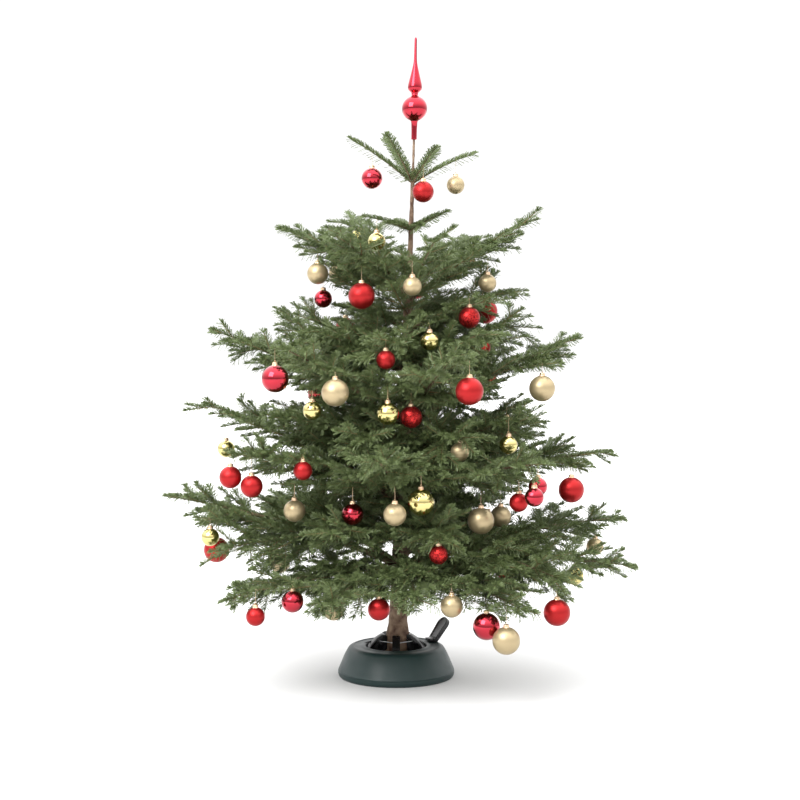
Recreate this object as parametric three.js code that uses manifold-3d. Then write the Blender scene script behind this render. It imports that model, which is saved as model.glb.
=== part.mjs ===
// A decorated cut fir in a plastic cable-clamp stand, about 2 m tall with its finial.
// Millimetres, +Z up, origin on the floor under the middle of the stand, -Y is the front.
// The trunk runs whole from its flat cut to the leader. Whorls of boughs grow from it, each
// bough a bare tapering limb that ends in a flat spray of foliage with finger-like shoots.
import * as THREE from "three";
import { mergeVertices } from "three/addons/utils/BufferGeometryUtils.js";
import Module from "manifold-3d";

const wasm = await Module();
wasm.setup();

// ---------- driving dimensions ----------

const GAP = 0.4; // between pieces that touch
const LEAN = 0.033; // the trunk's run in X for each millimetre of rise

// The trunk's radius at each height: cut foot, root flare, a swelling at each whorl, leader.
const TRUNK_FOOT = 10.4;
const TRUNK_TIP = 1722;
const TRUNK_PROFILE = [
  [40, TRUNK_FOOT],
  [39, 90],
  [38, 122],
  [35, 146],
  [31, 164],
  [29, 200],
  [27, 280],
  [27.5, 360],
  [23.5, 460],
  [23, 560],
  [20.5, 680],
  [20, 785],
  [17, 960],
  [16, 1187],
  [9.5, 1240],
  [8, 1404],
  [6.5, 1480],
  [6.5, 1551],
  [4.6, 1590],
  [3.8, TRUNK_TIP],
];

// Each bough is [bearing in degrees from +X, horizontal reach, rise of its tip].
const WHORLS = [
  {
    name: "high",
    height: 1187,
    limbs: [],
    boughs: [
      [180, 402, 222],
      [230, 356, 190],
      [284, 330, 170],
      [356, 378, 236],
      [54, 350, 205],
      [122, 370, 262],
    ],
  },
  {
    name: "middle",
    height: 785,
    limbs: [0, 1, 2, 3, 4, 5],
    boughs: [
      [178, 612, 306],
      [230, 560, 258],
      [286, 560, 246],
      [357, 546, 280],
      [56, 590, 296],
      [136, 590, 372],
    ],
  },
  {
    name: "low",
    height: 560,
    limbs: [],
    boughs: [
      [175, 640, 298],
      [215, 620, 172],
      [262, 600, 178],
      [312, 620, 152],
      [5, 676, 146],
      [44, 650, 226],
      [108, 650, 236],
    ],
  },
  {
    name: "base",
    height: 350,
    limbs: [0, 1, 2, 3, 4, 5, 6, 7, 8],
    boughs: [
      [177, 744, 214],
      [216, 640, -44],
      [246, 590, -54],
      [276, 520, -30],
      [306, 620, -56],
      [341, 756, 36],
      [13, 758, 130],
      [74, 690, 140],
      [130, 700, 150],
    ],
  },
];

// Collars of short shoots between the whorls, each one mass round the trunk. girth and depth
// are the half-width and half-thickness of a shoot.
const COLLARS = [
  {
    name: "top",
    height: 1551,
    girth: 24,
    depth: 20,
    boughs: [
      [180, 204, 146],
      [244, 188, 140],
      [298, 158, 104],
      [2, 204, 99],
      [62, 180, 124],
      [118, 190, 160],
    ],
  },
  {
    name: "shoulder",
    height: 1404,
    girth: 22,
    depth: 19,
    boughs: [
      [178, 157, 48],
      [234, 140, 20],
      [284, 130, 12],
      [330, 140, 60],
      [38, 124, 58],
      [112, 134, 42],
    ],
  },
  {
    name: "waist",
    height: 1090,
    girth: 42,
    depth: 36,
    boughs: [
      [180, 240, 86],
      [226, 260, 84],
      [278, 250, 60],
      [326, 300, 96],
      [8, 310, 124],
      [64, 290, 92],
      [126, 280, 96],
    ],
  },
  {
    name: "chest",
    height: 950,
    girth: 58,
    depth: 62,
    boughs: [
      [172, 310, 186],
      [212, 340, 150],
      [262, 340, 120],
      [312, 350, 140],
      [2, 330, 180],
      [58, 340, 160],
      [118, 340, 160],
    ],
  },
  {
    name: "heart",
    height: 690,
    girth: 58,
    depth: 54,
    boughs: [
      [200, 400, 150],
      [250, 380, 100],
      [296, 380, 96],
      [336, 410, 130],
      [28, 410, 150],
      [86, 380, 130],
      [152, 400, 150],
    ],
  },
  {
    name: "skirt",
    height: 452,
    girth: 60,
    depth: 50,
    boughs: [
      [197, 570, -24],
      [236, 400, 40],
      [288, 400, 36],
      [326, 580, -96],
      [40, 400, 80],
      [100, 400, 80],
      [154, 420, 90],
    ],
  },
];

const ARCH = 0.07; // how far a bough's middle is lifted, as a share of its reach
const FINGER_SIDES = 5;
const FINGER_STATIONS = [0.16, 0.8];
const SIDE_SIDES = 4;
const SIDE_STATIONS = [0.55];
const SIDE_STARTS = [0.32, 0.6]; // where side shoots leave a bough, as a share of its reach
const SIDE_ANGLE = 46; // degrees between a bough and its side shoots
const SIDE_SPREAD = 0.56; // a side shoot's length, as a share of the reach at its foot
const BARE_SHARE = 0.16; // the part of a limb that stands clear of its foliage
const HIDDEN_SHARE = 0.07; // where foliage starts on a bough whose limb it hides
const LIMB_SHARE = 0.28; // the whole limb, which ends in a socket of the foliage
const SPRAY_WIDTH = 0.13; // half-width of a bough's middle shoot, as a share of its reach
const SPRAY_DEPTH = 0.105; // and its half-thickness
const SIDE_WIDTH = 0.1; // the same for its side shoots
const SIDE_DEPTH = 0.085;
const TIP = 20; // half-size of every shoot's blunt tip

// The stand's basin: its widest ring stands just above its foot, and its skirt slopes in from
// there to its shoulder. rim is how far the rim's roll lies outside the mouth.
const STAND = {
  radius: 184,
  widest: 14,
  footRadius: 179,
  shoulderRadius: 153,
  shoulder: 87,
  topRadius: 145,
  height: 97,
  rim: 12,
  mouthRadius: 96,
  wellRadius: 90,
  floor: 10,
  steps: 24,
};
// A claw leans its nose on the trunk. nose and heel are its inner and outer edges, from the
// trunk's axis, shoulder is the height where its heel turns in, and foot its inner edge below.
const CLAW = { count: 5, first: 270, width: 24, nose: 34, heel: 93, foot: 58, shoulder: 92, top: 135 };
const CABLE = { radius: 66, wire: 1.6, height: 115 };
// The foot pedal stands in the rim at radius, on a hinge block, and leans outwards. foot is the
// height of its hidden lower end.
const PEDAL = {
  bearing: 30,
  radius: 129,
  foot: 91,
  width: 36,
  head: 24,
  length: 94,
  thick: 14,
  lean: 38,
  block: [28, 26, 16],
};
// The spire: each ring is [radius, height above its foot], and the ball lies between them.
const FINIAL = {
  foot: 1687,
  socketRadius: 5.6,
  socketDepth: 62,
  tilt: 1,
  steps: 12,
  sleeve: [
    [8.6, 0],
    [9.8, 56],
  ],
  ball: { radius: 40, height: 96.5 },
  spire: [
    [10.5, 141],
    [21, 154],
    [22.5, 164],
    [18.2, 185],
    [11.2, 212],
    [5, 242],
    [3.8, 316],
  ],
};

// ---------- materials ----------

const finish = (color, roughness, metalness = 0) =>
  new THREE.MeshStandardMaterial({ color, roughness, metalness });
const BARK = finish(0x7a6a5c, 0.9);
const NEEDLES = finish(0x4c6b45, 0.6);
const GREEN_PLASTIC = finish(0x3c5453, 0.45);
const BLACK_PLASTIC = finish(0x1c1c1e, 0.4);
const STEEL = finish(0xb9bbbd, 0.35, 1);
const RED_GLASS = finish(0xc01430, 0.08, 0.6);

// ---------- solids ----------

// A closed three.js geometry as a solid that can be cut and joined.
function solid(geometry) {
  const bare = geometry.index ? geometry.toNonIndexed() : geometry.clone();
  bare.deleteAttribute("normal");
  bare.deleteAttribute("uv");
  const merged = mergeVertices(bare, 1e-3);
  return new wasm.Manifold(
    new wasm.Mesh({
      numProp: 3,
      vertProperties: merged.attributes.position.array,
      triVerts: new Uint32Array(merged.index.array),
    }),
  );
}

// A solid as a named mesh. Only its largest body is kept, so a cut leaves no crumbs.
function piece(name, made, material) {
  const bodies = made.decompose().sort((a, b) => b.volume() - a.volume());
  const { vertProperties, triVerts } = bodies[0].getMesh();
  const geometry = new THREE.BufferGeometry()
    .setAttribute("position", new THREE.BufferAttribute(vertProperties, 3))
    .setIndex(new THREE.BufferAttribute(triVerts, 1));
  geometry.computeVertexNormals();
  const mesh = new THREE.Mesh(geometry, material);
  mesh.name = name;
  return mesh;
}

const join = (solids) => solids.reduce((whole, next) => whole.add(next));

// A small seeded generator, so that every build gives the same crown.
function dice(seed) {
  let state = seed;
  return (low, high) => {
    state = (Math.imul(state, 1664525) + 1013904223) >>> 0;
    return low + ((high - low) * state) / 4294967296;
  };
}

const onAxis = (height) => new THREE.Vector3(LEAN * height, 0, height);
const outward = (bearing) => {
  const angle = THREE.MathUtils.degToRad(bearing);
  return new THREE.Vector3(Math.cos(angle), Math.sin(angle), 0);
};

// A rod of flattened section along a curve: sides and stations set its faces, and width(u) and
// depth(u) its half-sizes across and up at each share u of the curve.
function rod(curve, sides, stations, width, depth) {
  const profile = [
    new THREE.Vector2(0, 0),
    ...stations.map((u) => new THREE.Vector2(1, u)),
    new THREE.Vector2(0, 1),
  ];
  const geometry = new THREE.LatheGeometry(profile, sides);
  const places = geometry.attributes.position;
  const up = new THREE.Vector3(0, 0, 1);
  for (let i = 0; i < places.count; i++) {
    const u = places.getY(i);
    const along = curve.getTangent(u);
    const across = new THREE.Vector3().crossVectors(along, up).normalize();
    const above = new THREE.Vector3().crossVectors(across, along);
    const place = curve
      .getPoint(u)
      .addScaledVector(across, places.getX(i) * width(u))
      .addScaledVector(above, places.getZ(i) * depth(u));
    places.setXYZ(i, place.x, place.y, place.z);
  }
  const made = solid(geometry);
  return made.volume() < 0 ? solid(turned(geometry)) : made;
}

// The same geometry with its faces turned to point the other way.
function turned(geometry) {
  const order = geometry.index.array;
  for (let i = 0; i < order.length; i += 3) {
    [order[i + 1], order[i + 2]] = [order[i + 2], order[i + 1]];
  }
  return geometry;
}

// ---------- trunk ----------

// The trunk as a turned taper sheared to its lean. grow widens it for cutting its neighbours.
function trunk(grow = 0) {
  const profile = TRUNK_PROFILE.map(([r, z]) => new THREE.Vector2(r + grow, z));
  profile.unshift(new THREE.Vector2(0, TRUNK_FOOT - grow));
  profile[1].y -= grow;
  profile.push(new THREE.Vector2(0, TRUNK_TIP + grow));
  const geometry = new THREE.LatheGeometry(profile, 10);
  geometry.rotateX(Math.PI / 2);
  // X gains LEAN times Z.
  geometry.applyMatrix4(new THREE.Matrix4().makeShear(0, 0, 0, 0, LEAN, 0));
  return solid(geometry);
}

// ---------- boughs and foliage ----------

// The line of a bough from the trunk's axis to its tip, arched a little upwards.
function boughLine(height, [bearing, reach, rise]) {
  const foot = onAxis(height);
  const out = outward(bearing);
  const tip = foot.clone().addScaledVector(out, reach);
  tip.z += rise;
  const middle = foot.clone().addScaledVector(out, reach * 0.5);
  middle.z += rise * 0.5 + ARCH * reach;
  return new THREE.QuadraticBezierCurve3(foot, middle, tip);
}

// The stretch of a curve between two shares of it.
const stretch = (curve, from, to) =>
  new THREE.QuadraticBezierCurve3(
    curve.getPoint(from),
    curve
      .getPoint((from + to) / 2)
      .multiplyScalar(2)
      .addScaledVector(curve.getPoint(from), -0.5)
      .addScaledVector(curve.getPoint(to), -0.5),
    curve.getPoint(to),
  );

// A bare limb, thick where it leaves the trunk.
function limb(height, bough, grow = 0) {
  const foot = 6 + 0.011 * bough[1];
  const radius = (u) => foot * (1 - 0.5 * u) + grow;
  const line = stretch(boughLine(height, bough), 0, LIMB_SHARE + grow / bough[1]);
  return rod(line, 5, [0.02, 0.97], radius, radius);
}

// A shoot's outline at a share of its length: swelling from its foot, narrowing to its tip.
const fingerShape = (u, full, tip) => tip + (full - tip) * Math.sin(Math.PI * (0.22 + 0.7 * u));

// The side shoots of a bough, each a rod that curves forwards from the bough's line.
function sideShoots(line, reach, roll, grow) {
  const shoots = [];
  for (const start of SIDE_STARTS) {
    for (const hand of [-1, 1]) {
      const share = start + roll(-0.04, 0.04);
      const along = line.getTangent(share);
      const across = new THREE.Vector3().crossVectors(along, new THREE.Vector3(0, 0, 1));
      across.normalize().multiplyScalar(hand);
      const length = SIDE_SPREAD * reach * Math.pow(1 - share, 0.7) * roll(0.88, 1.12);
      const angle = THREE.MathUtils.degToRad(SIDE_ANGLE + roll(-6, 6));
      const foot = line.getPoint(share);
      const middle = foot
        .clone()
        .addScaledVector(along, 0.5 * length * Math.cos(angle))
        .addScaledVector(across, 0.5 * length * Math.sin(angle));
      const tip = middle
        .clone()
        .addScaledVector(along, 0.5 * length * Math.cos(angle * 0.8))
        .addScaledVector(across, 0.5 * length * Math.sin(angle * 0.8));
      tip.z += length * roll(-0.12, 0.12);
      const full = SIDE_WIDTH * reach * (1 - 0.4 * share) * roll(0.9, 1.1);
      const deep = SIDE_DEPTH * reach * (1 - 0.4 * share);
      shoots.push(
        rod(
          new THREE.QuadraticBezierCurve3(foot, middle, tip),
          SIDE_SIDES,
          SIDE_STATIONS,
          (u) => fingerShape(u, full, TIP) + grow,
          (u) => fingerShape(u, deep, TIP) + grow,
        ),
      );
    }
  }
  return shoots;
}

// One bough's foliage: a middle shoot from where the limb ends to the tip, and side shoots.
function spray({ height, boughs, limbs }, index, seed, grow = 0) {
  const reach = boughs[index][1];
  const start = limbs.includes(index) ? BARE_SHARE : HIDDEN_SHARE;
  const roll = dice(seed);
  const whole = boughLine(height, boughs[index]);
  const middle = rod(
    stretch(whole, start, 1),
    FINGER_SIDES,
    FINGER_STATIONS,
    (u) => fingerShape(u, SPRAY_WIDTH * reach, TIP) + grow,
    (u) => fingerShape(u, SPRAY_DEPTH * reach, TIP) + grow,
  );
  return join([middle, ...sideShoots(whole, reach, roll, grow)]);
}

// A wedge of space round the trunk between a bough and its neighbours on both sides. Its edge
// lies a gap inside the halfway lines, or, grown, as far outside them.
function sector({ boughs, height }, index, grow) {
  const bearing = boughs[index][0];
  const ahead = boughs[(index + 1) % boughs.length][0];
  const behind = boughs[(index + boughs.length - 1) % boughs.length][0];
  const half = (from, to) => ((to - from + 360) % 360) / 2;
  const far = 2000;
  const shape = new THREE.Shape();
  shape.moveTo(0, 0);
  for (const turn of [-half(behind, bearing), 0, half(bearing, ahead)]) {
    const edge = outward(bearing + turn).multiplyScalar(far);
    shape.lineTo(edge.x, edge.y);
  }
  const prism = new THREE.ExtrudeGeometry(shape, { depth: 3000, bevelEnabled: false });
  const apex = onAxis(height).addScaledVector(outward(bearing), 2 * GAP - 4 * grow);
  prism.translate(apex.x, apex.y, -500);
  return solid(prism);
}

// A collar: short shoots that radiate from a hub round the trunk, as one mass.
function collar({ height, girth, depth, boughs }, grow = 0) {
  const hub = new THREE.CylinderGeometry(girth + grow, girth * 1.3 + grow, 2 * (depth + grow), 7);
  hub.rotateX(Math.PI / 2);
  const middle = onAxis(height + depth * 0.6);
  hub.translate(middle.x, middle.y, middle.z);
  const shoots = boughs.map((bough) =>
    rod(
      boughLine(height, bough),
      FINGER_SIDES,
      FINGER_STATIONS,
      (u) => fingerShape(u, girth, TIP) + grow,
      (u) => fingerShape(u, depth, TIP) + grow,
    ),
  );
  return join([solid(hub), ...shoots]);
}

// ---------- stand ----------

// The basin: a sloping skirt, a flat rim and a well with a floor, in one moulding.
function basin(grow = 0) {
  const { radius, widest, footRadius, shoulderRadius, shoulder, topRadius } = STAND;
  const { height, rim, mouthRadius, wellRadius, floor, steps } = STAND;
  const profile = [
    [0, -grow],
    [footRadius + grow, -grow],
    [radius - 1.5 + grow, widest / 2],
    [radius + grow, widest],
    [shoulderRadius + grow, shoulder],
    [topRadius + grow, height - 2 + grow],
    [mouthRadius + rim, height + 1 + grow],
    [mouthRadius - grow, height - 4],
    [wellRadius - grow, floor + grow],
    [0, floor + grow],
  ];
  const points = profile.map(([r, z]) => new THREE.Vector2(r, z));
  return solid(new THREE.LatheGeometry(points, steps).rotateX(Math.PI / 2));
}

// One claw: a lever plate that stands in the well and leans its nose on the trunk.
function claw(bearing) {
  const { width, nose, heel, foot, shoulder, top } = CLAW;
  const bottom = STAND.floor + 2;
  const shape = new THREE.Shape();
  shape.moveTo(foot, bottom);
  shape.lineTo(heel - 7, bottom);
  shape.lineTo(heel, shoulder);
  shape.quadraticCurveTo(heel - 3, shoulder + 14, heel - 26, shoulder + 32);
  shape.lineTo(nose + 14, top);
  shape.quadraticCurveTo(nose + 3, top + 2, nose, top - 8);
  shape.lineTo(nose, top - 45);
  shape.lineTo(nose + 14, shoulder - 14);
  shape.closePath();
  const plate = new THREE.ExtrudeGeometry(shape, {
    depth: width,
    bevelEnabled: false,
    curveSegments: 2,
  });
  plate.translate(0, 0, -width / 2);
  plate.rotateX(Math.PI / 2);
  plate.rotateZ(THREE.MathUtils.degToRad(bearing));
  return solid(plate);
}

// The tension cable: straight runs of wire from claw to claw round the trunk.
function cable(grow = 0) {
  const ring = new THREE.TorusGeometry(CABLE.radius, CABLE.wire + grow, 6, CLAW.count);
  ring.rotateZ(THREE.MathUtils.degToRad(CLAW.first));
  ring.translate(0, 0, CABLE.height);
  return solid(ring);
}

// The foot pedal: a hinge block on the rim with a lever that stands up from it.
function pedal() {
  const { bearing, radius, foot, width, head, length, thick, lean } = PEDAL;
  const shape = new THREE.Shape();
  shape.moveTo(-width / 2, 0);
  shape.lineTo(width / 2, 0);
  shape.lineTo(head, length - head);
  shape.absarc(0, length - head, head, 0, Math.PI, false);
  shape.closePath();
  const lever = new THREE.ExtrudeGeometry(shape, {
    depth: thick,
    bevelEnabled: false,
    curveSegments: 6,
  });
  lever.translate(0, 0, -thick / 2);
  lever.rotateX(Math.PI / 2);
  lever.rotateX(THREE.MathUtils.degToRad(lean));
  const block = new THREE.BoxGeometry(...PEDAL.block);
  block.translate(0, 0, PEDAL.block[2] / 2);
  const made = solid(lever).add(solid(block));
  const place = new THREE.Matrix4()
    .makeTranslation(0, 0, foot)
    .multiply(new THREE.Matrix4().makeRotationZ(THREE.MathUtils.degToRad(bearing - 90)))
    .multiply(new THREE.Matrix4().makeTranslation(0, radius, 0))
    .multiply(new THREE.Matrix4().makeRotationZ(Math.PI));
  return made.transform(place.toArray());
}

// ---------- finial ----------

// A blown-glass spire: a tube that slips over the leader, a ball, a bulb and a long point.
function finial() {
  const { socketRadius, socketDepth, steps, tilt, foot, sleeve, ball, spire } = FINIAL;
  const ballArc = [-66, -33, 0, 33, 66].map((degrees) => {
    const angle = THREE.MathUtils.degToRad(degrees);
    return [ball.radius * Math.cos(angle), ball.height + ball.radius * Math.sin(angle)];
  });
  const profile = [
    [0, socketDepth],
    [socketRadius, socketDepth],
    [socketRadius, 0],
    ...sleeve,
    ...ballArc,
    ...spire,
    [0, spire.at(-1)[1]],
  ];
  const geometry = new THREE.LatheGeometry(
    profile.map(([r, z]) => new THREE.Vector2(r, z)),
    steps,
  );
  geometry.rotateX(Math.PI / 2);
  geometry.rotateY(THREE.MathUtils.degToRad(tilt));
  const base = onAxis(foot);
  geometry.translate(base.x, base.y, base.z);
  return solid(geometry);
}

// ---------- assembly ----------

const tree = new THREE.Group();
tree.name = "fir_tree";
const fatTrunk = trunk(GAP);
const kept = []; // the grown copies that each later limb or mass is cut clear of
const clear = (made) => kept.reduce((left, other) => left.subtract(other), made);

tree.add(piece("trunk", trunk(), BARK));
tree.add(piece("finial", finial().subtract(fatTrunk), RED_GLASS));

for (const whorl of WHORLS) {
  for (const index of whorl.limbs) {
    const bough = whorl.boughs[index];
    const made = clear(limb(whorl.height, bough).subtract(fatTrunk));
    tree.add(piece(`limb_${whorl.name}_${index + 1}`, made, BARK));
    kept.push(limb(whorl.height, bough, GAP));
  }
}

const masses = [
  ...WHORLS.flatMap((whorl, tier) =>
    whorl.boughs.map((_, index) => ({
      name: `foliage_${whorl.name}_${index + 1}`,
      whole: (grow) =>
        spray(whorl, index, 97 * tier + 13 * index + 5, grow).intersect(sector(whorl, index, grow)),
    })),
  ),
  ...COLLARS.map((one) => ({
    name: `foliage_${one.name}`,
    whole: (grow) => collar(one, grow),
  })),
];
for (const mass of masses) {
  tree.add(piece(mass.name, clear(mass.whole(0).subtract(fatTrunk)), NEEDLES));
  kept.push(mass.whole(GAP));
}

tree.add(piece("stand_basin", basin(), GREEN_PLASTIC));
for (let n = 0; n < CLAW.count; n++) {
  const bearing = CLAW.first + (n * 360) / CLAW.count;
  const made = claw(bearing).subtract(fatTrunk).subtract(basin(GAP)).subtract(cable(GAP));
  tree.add(piece(`stand_claw_${n + 1}`, made, BLACK_PLASTIC));
}
tree.add(piece("stand_cable", cable(), STEEL));
tree.add(piece("stand_pedal", pedal().subtract(basin(GAP)), BLACK_PLASTIC));

export default tree;
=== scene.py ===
"""A decorated cut fir in a cable-clamp stand, dressed in place over its CAD model.

Metres, +Z up, -Y is the front. The trunk, limbs, stand and spire follow the CAD solids. The
crown grows from the same boughs by a seeded branching rule, and glass balls hang from its twigs.
"""

import logging
import math
from dataclasses import dataclass, field
from enum import Enum
from typing import Callable, Sequence

import bpy
import numpy as np
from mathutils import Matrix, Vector
from mathutils.bvhtree import BVHTree


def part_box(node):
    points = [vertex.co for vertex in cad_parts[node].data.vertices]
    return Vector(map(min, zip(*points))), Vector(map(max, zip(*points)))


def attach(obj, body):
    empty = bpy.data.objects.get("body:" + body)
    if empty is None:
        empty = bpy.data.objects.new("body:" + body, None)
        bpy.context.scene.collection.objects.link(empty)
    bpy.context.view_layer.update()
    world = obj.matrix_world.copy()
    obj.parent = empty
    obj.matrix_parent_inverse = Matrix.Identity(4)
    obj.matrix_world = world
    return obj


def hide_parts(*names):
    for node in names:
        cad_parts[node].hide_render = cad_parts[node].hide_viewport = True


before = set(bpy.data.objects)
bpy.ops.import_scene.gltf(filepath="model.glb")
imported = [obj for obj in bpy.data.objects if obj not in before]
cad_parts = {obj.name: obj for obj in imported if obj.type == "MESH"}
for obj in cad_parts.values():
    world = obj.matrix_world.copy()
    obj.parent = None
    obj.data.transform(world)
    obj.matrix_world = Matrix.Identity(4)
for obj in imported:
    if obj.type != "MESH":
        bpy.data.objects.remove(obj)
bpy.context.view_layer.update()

LOG = logging.getLogger("fir")
BODY = "root"
MM = 0.001
LEAN = 0.033  # the trunk's run in X for each metre of rise
UP = np.array([0.0, 0.0, 1.0])
TIERS = {"high": 1.187, "middle": 0.785, "low": 0.560, "base": 0.350}
COLLARS = {
    "top": 1.551,
    "shoulder": 1.404,
    "waist": 1.090,
    "chest": 0.950,
    "heart": 0.690,
    "skirt": 0.452,
}


class Slot(Enum):
    """The material slots."""

    BARK = "bark"
    NEEDLES = "needles"
    STAND_GREEN = "stand_green"
    STAND_BLACK = "stand_black"
    STEEL_CABLE = "steel_cable"
    RED_GLASS = "red_glass"
    RED_GLASS_MATTE = "red_glass_matte"
    GOLD_GLASS = "gold_glass"
    CHAMPAGNE_GLASS = "champagne_glass"
    BALL_CAP = "ball_cap"


# ---------- finishes ----------


def linear(colour: str) -> tuple[float, float, float, float]:
    """Turns an sRGB hex colour to linear light.

    Args:
        colour: six hex digits after a hash sign.

    Returns:
        Red, green, blue and a full alpha.
    """
    shares = [int(colour[i : i + 2], 16) / 255 for i in (1, 3, 5)]
    lit = [s / 12.92 if s <= 0.04045 else ((s + 0.055) / 1.055) ** 2.4 for s in shares]
    return (lit[0], lit[1], lit[2], 1.0)


def add_node(tree: bpy.types.NodeTree, kind: str, inputs: dict, **settings) -> bpy.types.Node:
    """Adds a node with its settings and links.

    Args:
        tree: the node tree it joins.
        kind: the node's type name.
        inputs: a value or another node's output for each input socket, by name or number.
        settings: the node's own properties.

    Returns:
        The new node.
    """
    node = tree.nodes.new(kind)
    for name, value in settings.items():
        setattr(node, name, value)
    for name, value in inputs.items():
        if isinstance(value, bpy.types.NodeSocket):
            tree.links.new(value, node.inputs[name])
        else:
            node.inputs[name].default_value = value
    return node


@dataclass(frozen=True)
class Finish:
    """A plain surface with one colour all over."""

    name: str
    colour: str
    roughness: float
    metallic: float = 0.0
    coat: float = 0.0

    def material(self) -> bpy.types.Material:
        """Builds the material, pattern and all."""
        made = bpy.data.materials.new(self.name)
        made.use_nodes = True
        tree = made.node_tree
        shader = tree.nodes["Principled BSDF"]
        shader.inputs["Base Color"].default_value = linear(self.colour)
        shader.inputs["Roughness"].default_value = self.roughness
        shader.inputs["Metallic"].default_value = self.metallic
        shader.inputs["Coat Weight"].default_value = self.coat
        shader.inputs["Coat Roughness"].default_value = 0.04
        made.diffuse_color = linear(self.colour)
        self.pattern(tree, shader)
        return made

    def pattern(self, tree: bpy.types.NodeTree, shader: bpy.types.Node) -> None:
        """Leaves the surface plain."""

    def place(self, tree: bpy.types.NodeTree) -> bpy.types.NodeSocket:
        """Returns the surface's own coordinates, in metres."""
        return add_node(tree, "ShaderNodeTexCoord", {}).outputs["Object"]


@dataclass(frozen=True)
class Bark(Finish):
    """Young fir bark: grey-brown, mottled, with resin blisters and fine cross cracks."""

    dark: str = "#3A2A20"
    blister: float = 7 * MM

    def pattern(self, tree: bpy.types.NodeTree, shader: bpy.types.Node) -> None:
        """Mottles the colour and raises the blisters.

        Args:
            tree: the material's node tree.
            shader: its main shader.
        """
        place = self.place(tree)
        patches = add_node(
            tree, "ShaderNodeTexNoise", {"Vector": place, "Scale": 1 / (30 * MM), "Detail": 6.0}
        )
        ramp = add_node(tree, "ShaderNodeValToRGB", {"Fac": patches.outputs["Fac"]})
        ramp.color_ramp.elements[0].position = 0.36
        ramp.color_ramp.elements[0].color = linear(self.dark)
        ramp.color_ramp.elements[1].position = 0.62
        ramp.color_ramp.elements[1].color = linear(self.colour)
        tree.links.new(ramp.outputs["Color"], shader.inputs["Base Color"])
        blisters = add_node(
            tree, "ShaderNodeTexVoronoi", {"Vector": place, "Scale": 1 / self.blister}
        )
        grain = add_node(
            tree, "ShaderNodeTexNoise", {"Vector": place, "Scale": 1 / (3 * MM), "Detail": 4.0}
        )
        height = add_node(
            tree,
            "ShaderNodeMath",
            {0: blisters.outputs["Distance"], 1: grain.outputs["Fac"]},
            operation="ADD",
        )
        bump = add_node(
            tree,
            "ShaderNodeBump",
            {"Height": height.outputs[0], "Strength": 0.6, "Distance": 1.2 * MM},
        )
        tree.links.new(bump.outputs["Normal"], shader.inputs["Normal"])


@dataclass(frozen=True)
class MouldedPlastic(Finish):
    """Injection-moulded plastic: a fine spark-eroded grain and a slow drift in its gloss."""

    grain: float = 1.2 * MM
    scuffed: float = 0.12

    def pattern(self, tree: bpy.types.NodeTree, shader: bpy.types.Node) -> None:
        """Adds the grain, and scuffs that dull the gloss in patches.

        Args:
            tree: the material's node tree.
            shader: its main shader.
        """
        place = self.place(tree)
        scuffs = add_node(
            tree, "ShaderNodeTexNoise", {"Vector": place, "Scale": 1 / (45 * MM), "Detail": 5.0}
        )
        gloss = add_node(
            tree,
            "ShaderNodeMapRange",
            {
                "Value": scuffs.outputs["Fac"],
                "From Min": 0.35,
                "From Max": 0.7,
                "To Min": self.roughness,
                "To Max": self.roughness + self.scuffed,
            },
        )
        tree.links.new(gloss.outputs["Result"], shader.inputs["Roughness"])
        grain = add_node(
            tree, "ShaderNodeTexNoise", {"Vector": place, "Scale": 1 / self.grain, "Detail": 2.0}
        )
        bump = add_node(
            tree,
            "ShaderNodeBump",
            {"Height": grain.outputs["Fac"], "Strength": 0.25, "Distance": 0.15 * MM},
        )
        tree.links.new(bump.outputs["Normal"], shader.inputs["Normal"])


@dataclass(frozen=True)
class BlownGlass(Finish):
    """Silvered blown glass with coloured lacquer: nearly a mirror, with the faintest ripple."""

    ripple: float = 0.012

    def pattern(self, tree: bpy.types.NodeTree, shader: bpy.types.Node) -> None:
        """Ripples the surface, as blown glass does.

        Args:
            tree: the material's node tree.
            shader: its main shader.
        """
        waves = add_node(
            tree, "ShaderNodeTexNoise", {"Vector": self.place(tree), "Scale": 1 / (25 * MM)}
        )
        bump = add_node(
            tree,
            "ShaderNodeBump",
            {"Height": waves.outputs["Fac"], "Strength": self.ripple, "Distance": 2 * MM},
        )
        tree.links.new(bump.outputs["Normal"], shader.inputs["Normal"])


@dataclass(frozen=True)
class GlitterGlass(Finish):
    """Glass rolled in glitter: flakes, drawn about 2 mm wide, each tilted its own way."""

    flake: float = 2.2 * MM
    # Painted shade: the colour of the darkest flakes.
    shadow: str = "#5A0710"

    def pattern(self, tree: bpy.types.NodeTree, shader: bpy.types.Node) -> None:
        """Tilts the flakes, and paints each at random between painted shade and the glass's own colour.

        Args:
            tree: the material's node tree.
            shader: its main shader.
        """
        cells = add_node(
            tree, "ShaderNodeTexVoronoi", {"Vector": self.place(tree), "Scale": 1 / self.flake}
        )
        parts = add_node(tree, "ShaderNodeSeparateColor", {"Color": cells.outputs["Color"]})
        ramp = add_node(tree, "ShaderNodeValToRGB", {"Fac": parts.outputs["Red"]})
        ramp.color_ramp.elements[0].position = 0.1
        ramp.color_ramp.elements[0].color = linear(self.shadow)
        ramp.color_ramp.elements[1].position = 0.75
        ramp.color_ramp.elements[1].color = linear(self.colour)
        tree.links.new(ramp.outputs["Color"], shader.inputs["Base Color"])
        bump = add_node(
            tree,
            "ShaderNodeBump",
            {"Height": parts.outputs["Green"], "Strength": 0.8, "Distance": 0.8 * MM},
        )
        tree.links.new(bump.outputs["Normal"], shader.inputs["Normal"])


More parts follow.
